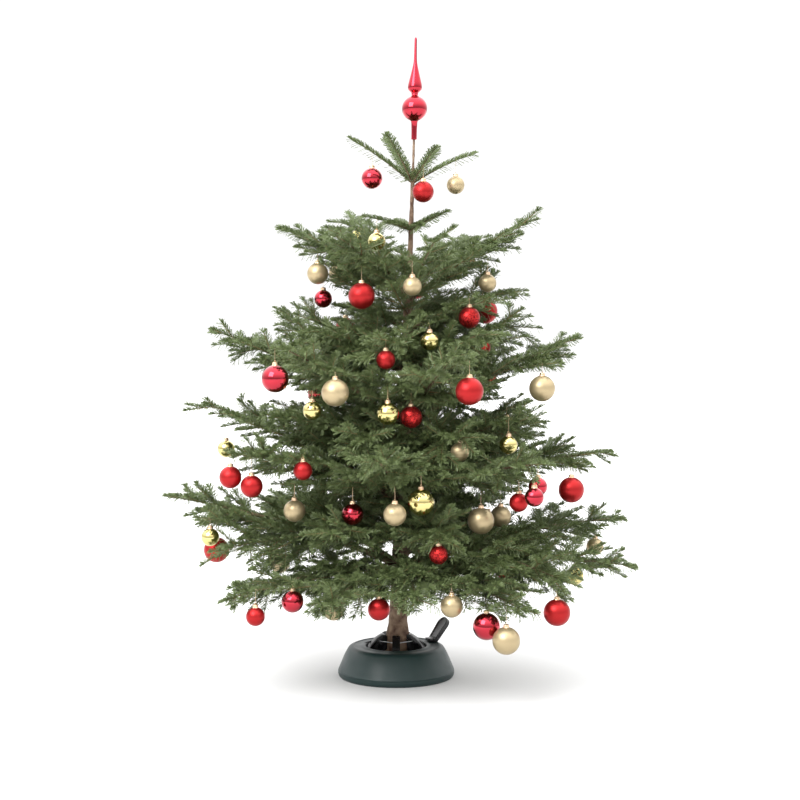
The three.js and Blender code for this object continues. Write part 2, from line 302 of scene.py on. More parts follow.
@dataclass(frozen=True)
class StrandedWire(Finish):
    """Steel wire rope: bright strands that wind round it, with dark grooves between."""

    lay: float = 5 * MM

    def pattern(self, tree: bpy.types.NodeTree, shader: bpy.types.Node) -> None:
        """Draws the strands as slanting waves.

        Args:
            tree: the material's node tree.
            shader: its main shader.
        """
        strands = add_node(
            tree,
            "ShaderNodeTexWave",
            {"Vector": self.place(tree), "Scale": 0.5 / self.lay, "Distortion": 0.5},
            bands_direction="DIAGONAL",
        )
        bump = add_node(
            tree,
            "ShaderNodeBump",
            {"Height": strands.outputs["Fac"], "Strength": 0.7, "Distance": 0.6 * MM},
        )
        tree.links.new(bump.outputs["Normal"], shader.inputs["Normal"])


@dataclass(frozen=True)
class PaintedGlowPaper(Finish):
    """Backdrop paper with a painted glow, an emission that grows further out, so that it fades to white."""

    near: float = 0.1  # its glow near the middle
    far: float = 0.7  # and far out
    start: float = 0.9  # how far out the glow starts to rise
    end: float = 5.0  # and stops rising

    def pattern(self, tree: bpy.types.NodeTree, shader: bpy.types.Node) -> None:
        """Paints a small glow on the paper, most away from the middle.

        Args:
            tree: the material's node tree.
            shader: its main shader.
        """
        away = add_node(
            tree, "ShaderNodeVectorMath", {0: self.place(tree)}, operation="LENGTH"
        ).outputs["Value"]
        glow = add_node(
            tree,
            "ShaderNodeMapRange",
            {
                "Value": away,
                "From Min": self.start,
                "From Max": self.end,
                "To Min": self.near,
                "To Max": self.far,
            },
        )
        # Painted glow: the paper's own emission, though it is no lamp.
        shader.inputs["Emission Color"].default_value = linear(self.colour)
        tree.links.new(glow.outputs["Result"], shader.inputs["Emission Strength"])


# Fir bark is thin and grey-brown, red-brown where it is fresh: it gives the eye soft mottling.
TRUNK_BARK = Bark("fir_bark", "#86705C", 0.85, dark="#452C20")
LIMB_BARK = Bark("fir_limb_bark", "#7C6A52", 0.85, dark="#4A3825", blister=4 * MM)
# Year-old twigs are buff, with a soft matte rind.
TWIG_BARK = Finish("fir_twig_rind", "#86704C", 0.8)
# Fir needles are waxy: a broad soft sheen over greens that differ from spray to spray.
NEEDLE_FINISHES = (
    Finish("fir_needles_deep_green", "#5E6C42", 0.5),
    Finish("fir_needles_mid_green", "#C0CE94", 0.46),
    Finish("fir_needles_blue_green", "#BACEBA", 0.46),
    Finish("fir_needles_fresh_green", "#C8DA6A", 0.46),
    Finish("fir_needles_pale_underside", "#EAF0E0", 0.5),
    # Light green is some shoots' own tone; dealt to single needles at random, it is a painted glint.
    Finish("fir_needles_light_green", "#DCE6C4", 0.46),
)
# The stand is glass-filled polypropylene: satin, dark, slightly green.
BASIN_PLASTIC = MouldedPlastic("moulded_polypropylene_green", "#132B2A", 0.42)
CLAW_PLASTIC = MouldedPlastic("moulded_nylon_black", "#141416", 0.24, scuffed=0.1)
ROPE_STEEL = StrandedWire("galvanised_wire_rope", "#C9CBCC", 0.35, metallic=1.0)
# Lacquered blown glass: red and gold mirrors, red and champagne satins, and red glitter.
RED_MIRROR = BlownGlass("silvered_red_glass", "#AA182C", 0.08, metallic=1.0, coat=0.6)
RED_SATIN = BlownGlass("satin_red_glass", "#A01C1E", 0.36, metallic=0.75)
RED_GLITTER = GlitterGlass("glitter_red_glass", "#C83230", 0.3, metallic=0.9)
GOLD_MIRROR = BlownGlass("silvered_gold_glass", "#D0C280", 0.12, metallic=1.0, coat=0.4)
CHAMPAGNE_SATIN = BlownGlass("satin_champagne_glass", "#AC9B79", 0.38, metallic=0.7)
# Caps are stamped from thin gilt sheet, hooks bent from gilt wire.
CAP_METAL = Finish("gilt_tinplate", "#E3C3A2", 0.3, metallic=1.0)
# Backdrop paper is matte, with a painted glow that grows away from the middle: a pale floor with no edge.
FLOOR_PAPER = PaintedGlowPaper("white_backdrop_paper_painted_glow", "#C6C6C6", 0.9)


# ---------- modelling helpers ----------


def unit(vector: np.ndarray) -> np.ndarray:
    """Scales one vector, or each row of an array, to length one."""
    size = np.linalg.norm(vector, axis=-1, keepdims=True)
    return vector / np.maximum(size, 1e-9)


def node_points(name: str) -> np.ndarray:
    """Reads a CAD node's vertices, one in each row."""
    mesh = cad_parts[name].data
    flat = np.empty(3 * len(mesh.vertices), np.float32)
    mesh.vertices.foreach_get("co", flat)
    return flat.reshape(-1, 3).astype(float)


def deselect() -> None:
    """Leaves nothing selected and nothing active."""
    bpy.ops.object.select_all(action="DESELECT")
    bpy.context.view_layer.objects.active = None


def activate(piece: bpy.types.Object) -> None:
    """Makes one object the only selected and active one."""
    deselect()
    piece.select_set(True)
    bpy.context.view_layer.objects.active = piece


def edit(mode: bool) -> None:
    """Enters or leaves edit mode on the active object."""
    bpy.ops.object.mode_set(mode="EDIT" if mode else "OBJECT")


def pick(piece: bpy.types.Object, test: Callable[[bpy.types.MeshPolygon], bool]) -> int:
    """Selects the faces that pass a test, leaving the object in edit mode.

    Args:
        piece: the object, active and in edit mode.
        test: says whether a face is wanted, from its centre and normal.

    Returns:
        How many faces are selected.
    """
    edit(False)
    mesh = piece.data
    mesh.vertices.foreach_set("select", [False] * len(mesh.vertices))
    mesh.edges.foreach_set("select", [False] * len(mesh.edges))
    wanted = [test(face) for face in mesh.polygons]
    mesh.polygons.foreach_set("select", wanted)
    edit(True)
    bpy.ops.mesh.select_mode(type="FACE")
    return sum(wanted)


def apply_modifier(piece: bpy.types.Object, kind: str, **settings) -> None:
    """Adds a modifier with its settings and applies it.

    Args:
        piece: the object.
        kind: the modifier's type.
        settings: its properties.
    """
    activate(piece)
    modifier = piece.modifiers.new(kind.lower(), kind)
    for name, value in settings.items():
        setattr(modifier, name, value)
    bpy.ops.object.modifier_apply(modifier=modifier.name)


def dress(piece: bpy.types.Object, *finishes: bpy.types.Material) -> None:
    """Gives a piece its materials, in order."""
    piece.data.materials.clear()
    for finish in finishes:
        piece.data.materials.append(finish)


def smooth(piece: bpy.types.Object, degrees: float = 35) -> None:
    """Shades a piece smooth, with edges sharper than an angle left crisp."""
    activate(piece)
    bpy.ops.object.shade_smooth_by_angle(angle=math.radians(degrees))


def settle(piece: bpy.types.Object, nodes: Sequence[str]) -> None:
    """Makes a finished piece part of the object.

    Args:
        piece: the piece, in its place.
        nodes: the CAD nodes it stands for.
    """
    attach(piece, BODY)
    if nodes:
        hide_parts(*nodes)
    faces = len(piece.data.polygons)
    LOG.info("%s: %d faces, for %d CAD nodes", piece.name, faces, len(nodes))


def turned(
    name: str,
    rings: Sequence[tuple[float, float]],
    sides: int,
    lean: float = 0.0,
    start: float = 0.0,
) -> bpy.types.Object:
    """Draws a closed turned form up from its first ring by extruding and resizing its rim.

    Args:
        name: the object's name.
        rings: the radius and height of each ring, from one end cap to the other.
        sides: how many sides the form has.
        lean: how far its axis runs in X for each metre of rise.
        start: where its axis would cross the floor, in X.

    Returns:
        The object, its faces pointing outwards.
    """
    radius, height = rings[0]
    deselect()
    bpy.ops.mesh.primitive_circle_add(
        vertices=sides,
        radius=radius,
        fill_type="NGON",
        location=(start + lean * height, 0, height),
    )
    piece = bpy.context.object
    piece.name = name
    bpy.ops.object.transform_apply(location=True, rotation=True, scale=True)
    edit(True)
    bpy.ops.mesh.select_all(action="SELECT")
    for wider, above in rings[1:]:
        rise = above - height
        bpy.ops.mesh.extrude_region_move(
            TRANSFORM_OT_translate={"value": (lean * rise, 0, rise)}
        )
        share = wider / radius
        bpy.ops.transform.resize(
            value=(share, share, 1), center_override=(start + lean * above, 0, above)
        )
        radius, height = wider, above
    bpy.ops.mesh.select_all(action="SELECT")
    bpy.ops.mesh.normals_make_consistent(inside=False)
    edit(False)
    return piece


def copy_of(node: str, name: str) -> bpy.types.Object:
    """Copies a CAD node as one clean mesh with flat faces made whole.

    Args:
        node: the CAD node.
        name: the copy's name.

    Returns:
        The copy, free of the frame.
    """
    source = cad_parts[node]
    mesh = source.data.copy()
    for key in list(mesh.keys()):
        del mesh[key]
    piece = bpy.data.objects.new(name, mesh)
    bpy.context.scene.collection.objects.link(piece)
    activate(piece)
    edit(True)
    bpy.ops.mesh.select_all(action="SELECT")
    bpy.ops.mesh.remove_doubles(threshold=1e-5)
    bpy.ops.mesh.customdata_custom_splitnormals_clear()
    bpy.ops.mesh.dissolve_limited(angle_limit=math.radians(3))
    edit(False)
    return piece


def arrays(piece: bpy.types.Object) -> tuple[np.ndarray, np.ndarray]:
    """Reads a modelled shape as arrays, and puts the shape away.

    Args:
        piece: the shape, which is deleted.

    Returns:
        Its points and its triangles.
    """
    mesh = piece.data
    mesh.calc_loop_triangles()
    points = np.empty(3 * len(mesh.vertices), np.float32)
    mesh.vertices.foreach_get("co", points)
    triangles = np.empty(3 * len(mesh.loop_triangles), np.int32)
    mesh.loop_triangles.foreach_get("vertices", triangles)
    bpy.data.objects.remove(piece)
    return points.reshape(-1, 3).astype(float), triangles.reshape(-1, 3)


def tube(
    name: str,
    lines: Sequence[np.ndarray],
    radii: Sequence[np.ndarray],
    sides: int,
    closed: bool = False,
) -> bpy.types.Object:
    """Draws round rods along lines as one curve, and makes it a mesh.

    Args:
        name: the object's name.
        lines: each rod's points, one in each row.
        radii: each rod's radius at each of its points.
        sides: about how many sides a rod has.
        closed: whether each line joins up with itself.

    Returns:
        The mesh object.
    """
    data = bpy.data.curves.new(name, "CURVE")
    data.dimensions = "3D"
    data.bevel_depth = 1.0
    data.bevel_resolution = max(0, sides // 2 - 2)
    data.use_fill_caps = not closed
    for line, radius in zip(lines, radii):
        spline = data.splines.new("POLY")
        spline.points.add(len(line) - 1)
        spline.points.foreach_set("co", np.column_stack([line, np.ones(len(line))]).ravel())
        spline.points.foreach_set("radius", radius)
        spline.use_cyclic_u = closed
    piece = bpy.data.objects.new(name, data)
    bpy.context.scene.collection.objects.link(piece)
    activate(piece)
    bpy.ops.object.convert(target="MESH")
    return bpy.context.object


def relief(kind: str, grain: float) -> bpy.types.Texture:
    """Makes a procedural texture for displacing a surface.

    Args:
        kind: the texture's type.
        grain: the size of its pattern, in metres.

    Returns:
        The texture.
    """
    texture = bpy.data.textures.new(kind.lower(), kind)
    texture.noise_scale = grain
    return texture


@dataclass
class Batch:
    """Many small things as arrays, joined into one mesh at the end."""

    points: list[np.ndarray] = field(default_factory=list)
    triangles: list[np.ndarray] = field(default_factory=list)
    tints: list[np.ndarray] = field(default_factory=list)
    count: int = 0

    def add(self, points: np.ndarray, triangles: np.ndarray, tints: np.ndarray) -> None:
        """Adds some points and the triangles between them.

        Args:
            points: one point in each row.
            triangles: three rows of the points for each triangle.
            tints: each triangle's material number.
        """
        self.points.append(points)
        self.triangles.append(triangles + self.count)
        self.tints.append(tints)
        self.count += len(points)

    def piece(self, name: str, smoothed: bool) -> bpy.types.Object:
        """Joins it all as one object.

        Args:
            name: the object's name.
            smoothed: whether its faces are shaded smooth.

        Returns:
            The object, at the origin.
        """
        points = np.concatenate(self.points)
        triangles = np.concatenate(self.triangles)
        mesh = bpy.data.meshes.new(name)
        mesh.vertices.add(len(points))
        mesh.vertices.foreach_set("co", points.astype(np.float32).ravel())
        mesh.loops.add(triangles.size)
        mesh.loops.foreach_set("vertex_index", triangles.astype(np.int32).ravel())
        mesh.polygons.add(len(triangles))
        mesh.polygons.foreach_set("loop_start", np.arange(0, triangles.size, 3, dtype=np.int32))
        tints = np.concatenate(self.tints).astype(np.int32)
        mesh.polygons.foreach_set("material_index", tints)
        mesh.polygons.foreach_set("use_smooth", np.full(len(triangles), smoothed))
        mesh.update(calc_edges=True)
        piece = bpy.data.objects.new(name, mesh)
        bpy.context.scene.collection.objects.link(piece)
        return piece


# ---------- growth ----------


class Tone(Enum):
    """The green of a shoot's needles, as the number of its material."""

    DEEP = 0
    MID = 1
    BLUE = 2
    FRESH = 3
    PALE = 4
    LIGHT = 5


@dataclass
class Shoot:
    """One year's or more growth: a bending line with needles on all but its foot."""

    line: np.ndarray
    order: int
    thick: float
    bare: float
    tone: Tone
    above: np.ndarray
    dense: float = 1.0

    @property
    def length(self) -> float:
        """The length of its line."""
        return float(np.linalg.norm(np.diff(self.line, axis=0), axis=1).sum())

    def at(self, share: float) -> tuple[np.ndarray, np.ndarray]:
        """Finds a place on the line.

        Args:
            share: how far along, from 0 to 1.

        Returns:
            The point there and the way the line runs.
        """
        place = share * (len(self.line) - 1)
        index = min(int(place), len(self.line) - 2)
        step = self.line[index + 1] - self.line[index]
        return self.line[index] + step * (place - index), unit(step)

    def cut(self, share: float) -> None:
        """Shortens the line to a share of itself, with as many points as before."""
        last = share * (len(self.line) - 1)
        places = np.linspace(0, last, len(self.line))
        index = np.minimum(places.astype(int), len(self.line) - 2)
        local = (places - index)[:, None]
        self.line = self.line[index] * (1 - local) + self.line[index + 1] * local


def bent(foot: np.ndarray, way: np.ndarray, length: float, pull: np.ndarray, points: int) -> np.ndarray:
    """Draws a line that sets out one way and is pulled another.

    Args:
        foot: where it starts.
        way: its first direction.
        length: how long it is.
        pull: what is added to the direction over its far half.
        points: how many points it has.

    Returns:
        The line's points, one in each row.
    """
    middle = foot + way * length / 2
    tip = middle + unit(way + pull) * length / 2
    share = np.linspace(0, 1, points)[:, None]
    return (1 - share) ** 2 * foot + 2 * share * (1 - share) * middle + share**2 * tip


@dataclass
class Crown:
    """All the shoots of the tree, grown from its boughs by a seeded rule."""

    seed: int = 11
    arch: float = 0.07  # how far a bough's middle is lifted, as a share of its length
    margin: float = 24 * MM  # how far shoots may stand out of the CAD masses
    inner_margin: float = 62 * MM  # and those of the collars, which the boughs surround
    shootlet_gap: float = 54 * MM  # between pairs of the shortest shoots
    young: float = 0.3  # boughs shorter than this are two years old
    newest: float = 0.25  # and those shorter than this are one, and bear no side shoots
    inset: float = 17 * MM  # how far the needles stand out past a bough's end
    internode_gap: float = 21 * MM  # between the lone shoots of the trunk
    riser_gap: float = 72 * MM  # between shoots above and below a bough
    leap: float = 55 * MM  # the widest gap between masses that a shoot crosses
    stub: float = 28 * MM  # the shortest shoot that is kept when cut
    outer_collars: tuple[str, ...] = ("top", "shoulder")
    internode_run: tuple[float, float] = (0.37, 1.2)  # the heights between which they grow
    shoots: dict[str, list[Shoot]] = field(default_factory=dict)

    def __post_init__(self) -> None:
        """Gathers the room that the CAD masses leave for foliage."""
        self.proud = self.margin  # how far the shoots now growing may stand out
        self.dice = np.random.default_rng(self.seed)
        points, faces, count = [], [], 0
        for name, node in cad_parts.items():
            if name.startswith("foliage_"):
                here = node_points(name)
                points.extend(map(tuple, here))
                faces.extend(tuple(v + count for v in f.vertices) for f in node.data.polygons)
                count += len(here)
        self.room = BVHTree.FromPolygons(points, faces)

    def holds(self, point: np.ndarray) -> bool:
        """Says whether a point is in a CAD mass, or no further out than shoots may stand."""
        near, normal, _, distance = self.room.find_nearest(Vector(point))
        return distance < self.proud or (Vector(point) - near).dot(normal) < 0

    def fit(self, shoot: Shoot) -> bool:
        """Cuts a shoot off where it leaves the room for foliage.

        Args:
            shoot: the shoot, shortened in place.

        Returns:
            Whether enough of it is left to keep.
        """
        steps = 8
        gap = 0
        last = 0
        for step in range(1, steps + 1):
            if self.holds(shoot.at(step / steps)[0]):
                last = step
                gap = 0
            else:
                gap += 1
                if gap * shoot.length / steps > self.leap:
                    break
        if last == 0 or shoot.length * last / steps < self.stub:
            return False
        if last < steps:
            shoot.cut(last / steps)
        return True

    def side(
        self, parent: Shoot, share: float, hand: int, roll: float
    ) -> tuple[np.ndarray, np.ndarray, np.ndarray]:
        """Finds where and how a side shoot leaves its parent.

        Args:
            parent: the shoot it grows on.
            share: how far along the parent.
            hand: -1 or 1, for its side.
            roll: degrees that it turns up out of the spray's plane.

        Returns:
            Its foot, the way the parent runs there, and the way square to it.
        """
        foot, along = parent.at(share)
        above = unit(parent.above - along * parent.above.dot(along))
        across = np.cross(along, above) * hand
        turn = math.radians(roll)
        return foot, along, across * math.cos(turn) + above * math.sin(turn)

    def tone(self, bough: Shoot, share: float) -> Tone:
        """Deals a spray its green.

        Args:
            bough: the bough it grows on.
            share: how far along the bough.

        Returns:
            The tone, deeper near the trunk and fresher at the lower right.
        """
        tip = bough.line[-1]
        fresh = 0.14 + 0.4 * float(tip[0] > 0.05 and tip[1] < 0.2 and tip[2] < 0.75)
        blue = 0.36 - 0.16 * float(tip[0] > 0.05)
        deep = 0.5 - 0.4 * share
        rest = 1 - deep
        odds = [deep, rest * (1 - fresh - blue), rest * blue, rest * fresh]
        return (Tone.DEEP, Tone.MID, Tone.BLUE, Tone.FRESH)[self.dice.choice(4, p=odds)]

    def turn_tone(self, spray: Tone) -> Tone:
        """Deals one shoot its green: mostly its spray's, or now and then another."""
        return (spray, spray, spray, Tone.LIGHT, Tone.MID)[self.dice.integers(5)]

    def shootlets(self, parent: Shoot, into: list[Shoot]) -> None:
        """Grows the last, short shoots along both sides of a side shoot.

        Args:
            parent: the side shoot.
            into: the list they join.
        """
        length = parent.length
        if length < 75 * MM:
            return
        count = max(1, round(length * 0.75 / self.shootlet_gap))
        for index in range(count):
            share = 0.18 + 0.74 * (index + 0.4 * self.dice.random()) / count
            for hand in (-1, 1):
                if self.dice.random() < 0.08:
                    continue
                full = 0.055 + 0.55 * length * (1 - share)
                size = min(full, 0.15) * self.dice.uniform(0.75, 1.1)
                foot, along, across = self.side(parent, share, hand, self.dice.uniform(-38, 34))
                angle = math.radians(self.dice.uniform(40, 56))
                way = along * math.cos(angle) + across * math.sin(angle)
                line = bent(foot, way, size, 0.4 * along + self.dice.uniform(-0.1, 0.2) * UP, 4)
                tone = self.turn_tone(parent.tone)
                made = Shoot(line, 3, 1.2 * MM, 0.06, tone, parent.above, parent.dense)
                if self.fit(made):
                    into.append(made)

    def laterals(self, bough: Shoot, start: float, into: list[Shoot]) -> None:
        """Grows a bough's side shoots, in pairs, long at its foot and short at its tip.

        Args:
            bough: the bough.
            start: the share of the bough where they start.
            into: the list they join.
        """
        length = bough.length
        young = length < self.young
        spacing = 0.075 if young else 0.04 + 0.048 * length
        count = max(2, round(length * (0.95 - start) / spacing))
        for index in range(count):
            for hand in (-1, 1):
                share = start + (0.95 - start) * (index + 0.35 * self.dice.random()) / (count - 1)
                share = min(share, 0.96)
                node = 1.12 if index % 3 == 0 else 0.84
                size = 0.62 * length * (1 - share) ** 0.75 * node * self.dice.uniform(0.85, 1.1)
                size = max(size * (0.75 if young else 1), self.dice.uniform(65, 95) * MM)
                foot, along, across = self.side(bough, share, hand, self.dice.uniform(-28, 20))
                angle = math.radians(self.dice.uniform(44, 58) - 8 * share)
                way = along * math.cos(angle) + across * math.sin(angle)
                pull = 0.45 * along + self.dice.uniform(-0.3, 0.2) * UP
                line = bent(foot, way, size, pull, 8)
                tone = self.tone(bough, share)
                bare = 0.16 if share < 0.5 else 0.06
                thick = (1.2 + 6.5 * size) * MM
                made = Shoot(line, 2, thick, bare, tone, bough.above, bough.dense)
                if self.fit(made):
                    into.append(made)
                    self.shootlets(made, into)

    def risers(self, bough: Shoot, start: float, into: list[Shoot]) -> None:
        """Grows shoots that stand up from a bough's upper side or hang below it.

        Args:
            bough: the bough.
            start: the share of the bough where they start.
            into: the list they join.
        """
        count = round(bough.length * (1 - start) / self.riser_gap)
        for index in range(count):
            share = start + (0.97 - start) * (index + self.dice.random()) / count
            hand = self.dice.choice((-1, 1))
            rises = self.dice.random() < 0.62
            roll = self.dice.uniform(28, 88) if rises else self.dice.uniform(-80, -30)
            foot, along, across = self.side(bough, share, hand, roll)
            angle = math.radians(self.dice.uniform(34, 60))
            way = along * math.cos(angle) + across * math.sin(angle)
            size = self.dice.uniform(0.07, 0.13) + 0.08 * (1 - share) * bough.length
            line = bent(foot, way, size, 0.4 * along + (0.25 if rises else -0.1) * UP, 6)
            tone = self.tone(bough, share)
            made = Shoot(line, 2, 1.5 * MM, 0.06, tone, bough.above, bough.dense)
            if self.fit(made):
                into.append(made)
                self.shootlets(made, into)

    def bough(self, height: float, tip: np.ndarray, start: float, dense: float, into: list[Shoot]) -> None:
        """Grows one bough with all that is on it.

        Args:
            height: where it leaves the trunk.
            tip: where it ends.
            start: the share of it that carries no side shoots.
            dense: how closely its needles stand, against the usual.
            into: the list its shoots join.
        """
        foot = np.array([LEAN * height, 0, height])
        reach = float(np.linalg.norm((tip - foot)[:2]))
        middle = (foot + tip) / 2 + UP * self.arch * reach
        share = np.linspace(0, 1, 22)[:, None]
        line = (1 - share) ** 2 * foot + 2 * share * (1 - share) * middle + share**2 * tip
        out = unit((tip - foot) * np.array([1, 1, 0]))
        above = unit(UP + 0.22 * out)
        if reach < self.newest:
            tone = Tone.LIGHT if self.dice.random() < 0.3 else Tone.MID
            into.append(Shoot(line, 1, 2.6 * MM, 0.05, tone, above, 1.6))
            return
        made = Shoot(line, 1, (3.5 + 11 * reach) * MM, start + 0.1, Tone.MID, above, dense)
        into.append(made)
        self.laterals(made, start, into)
        if made.length > self.young:
            self.risers(made, start, into)

    def tip_of(self, name: str, height: float) -> np.ndarray:
        """Finds the end of the bough in a CAD mass: its point furthest from the trunk."""
        points = node_points(name)
        away = np.hypot(points[:, 0] - LEAN * height, points[:, 1])
        tip = points[away.argmax()]
        inward = np.array([LEAN * height, 0, tip[2]]) - tip
        return tip + unit(inward) * self.inset

    def finger_tips(self, name: str, height: float) -> list[np.ndarray]:
        """Finds the ends of a collar's shoots.

        Args:
            name: the collar's CAD node.
            height: where its shoots leave the trunk.

        Returns:
            One point for each, furthest first, each in its own direction.
        """
        points = node_points(name)
        offset = points[:, :2] - np.array([LEAN * height, 0])
        away = np.hypot(offset[:, 0], offset[:, 1])
        bearing = np.degrees(np.arctan2(offset[:, 1], offset[:, 0]))
        tips: list[np.ndarray] = []
        taken: list[float] = []
        for index in away.argsort()[::-1]:
            apart = [abs((bearing[index] - other + 180) % 360 - 180) for other in taken]
            if min(apart, default=360) > 27 and away[index] > 0.45 * away.max():
                taken.append(bearing[index])
                inward = np.array([LEAN * height, 0, height]) - points[index]
                tips.append(points[index] + unit(inward) * self.inset)
        return tips

    def internodes(self, low: float, high: float, into: list[Shoot]) -> None:
        """Grows lone small boughs straight from the trunk between the whorls.

        Args:
            low: where they start.
            high: where they end.
            into: the list their shoots join.
        """
        count = round((high - low) / self.internode_gap)
        for index in range(count):
            height = low + (high - low) * (index + self.dice.random()) / count
            bearing = 2.4 * index + self.dice.uniform(-0.3, 0.3)
            reach = self.dice.uniform(0.17, 0.3)
            out = np.array([math.cos(bearing), math.sin(bearing), self.dice.uniform(0.1, 0.6)])
            foot = np.array([LEAN * height, 0, height])
            line = bent(foot, unit(out), reach, -0.1 * UP, 9)
            made = Shoot(line, 2, 3 * MM, 0.2, Tone.DEEP, unit(UP - 0.2 * out), 0.9)
            if self.fit(made):
                into.append(made)
                self.shootlets(made, into)

    def grow(self) -> None:
        """Grows every bough of the whorls and collars, and what stands between them."""
        for tier, height in TIERS.items():
            names = sorted(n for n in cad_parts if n.startswith(f"foliage_{tier}_"))
            for name in names:
                own = self.shoots.setdefault(name, [])
                start = 0.16 if f"limb{name[7:]}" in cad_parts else 0.12
                self.bough(height, self.tip_of(name, height), start, 1.0, own)
        for collar, height in COLLARS.items():
            name = f"foliage_{collar}"
            own = self.shoots.setdefault(name, [])
            self.proud = self.margin if collar in self.outer_collars else self.inner_margin
            for tip in self.finger_tips(name, height):
                self.bough(height, tip, 0.14, 0.8, own)
        self.proud = self.inner_margin
        self.internodes(*self.internode_run, self.shoots["foliage_heart"])
        everything = [s for group in self.shoots.values() for s in group]
        total = sum(s.length for s in everything)
        LOG.info("crown: %d shoots, %.0f m in all", len(everything), total)


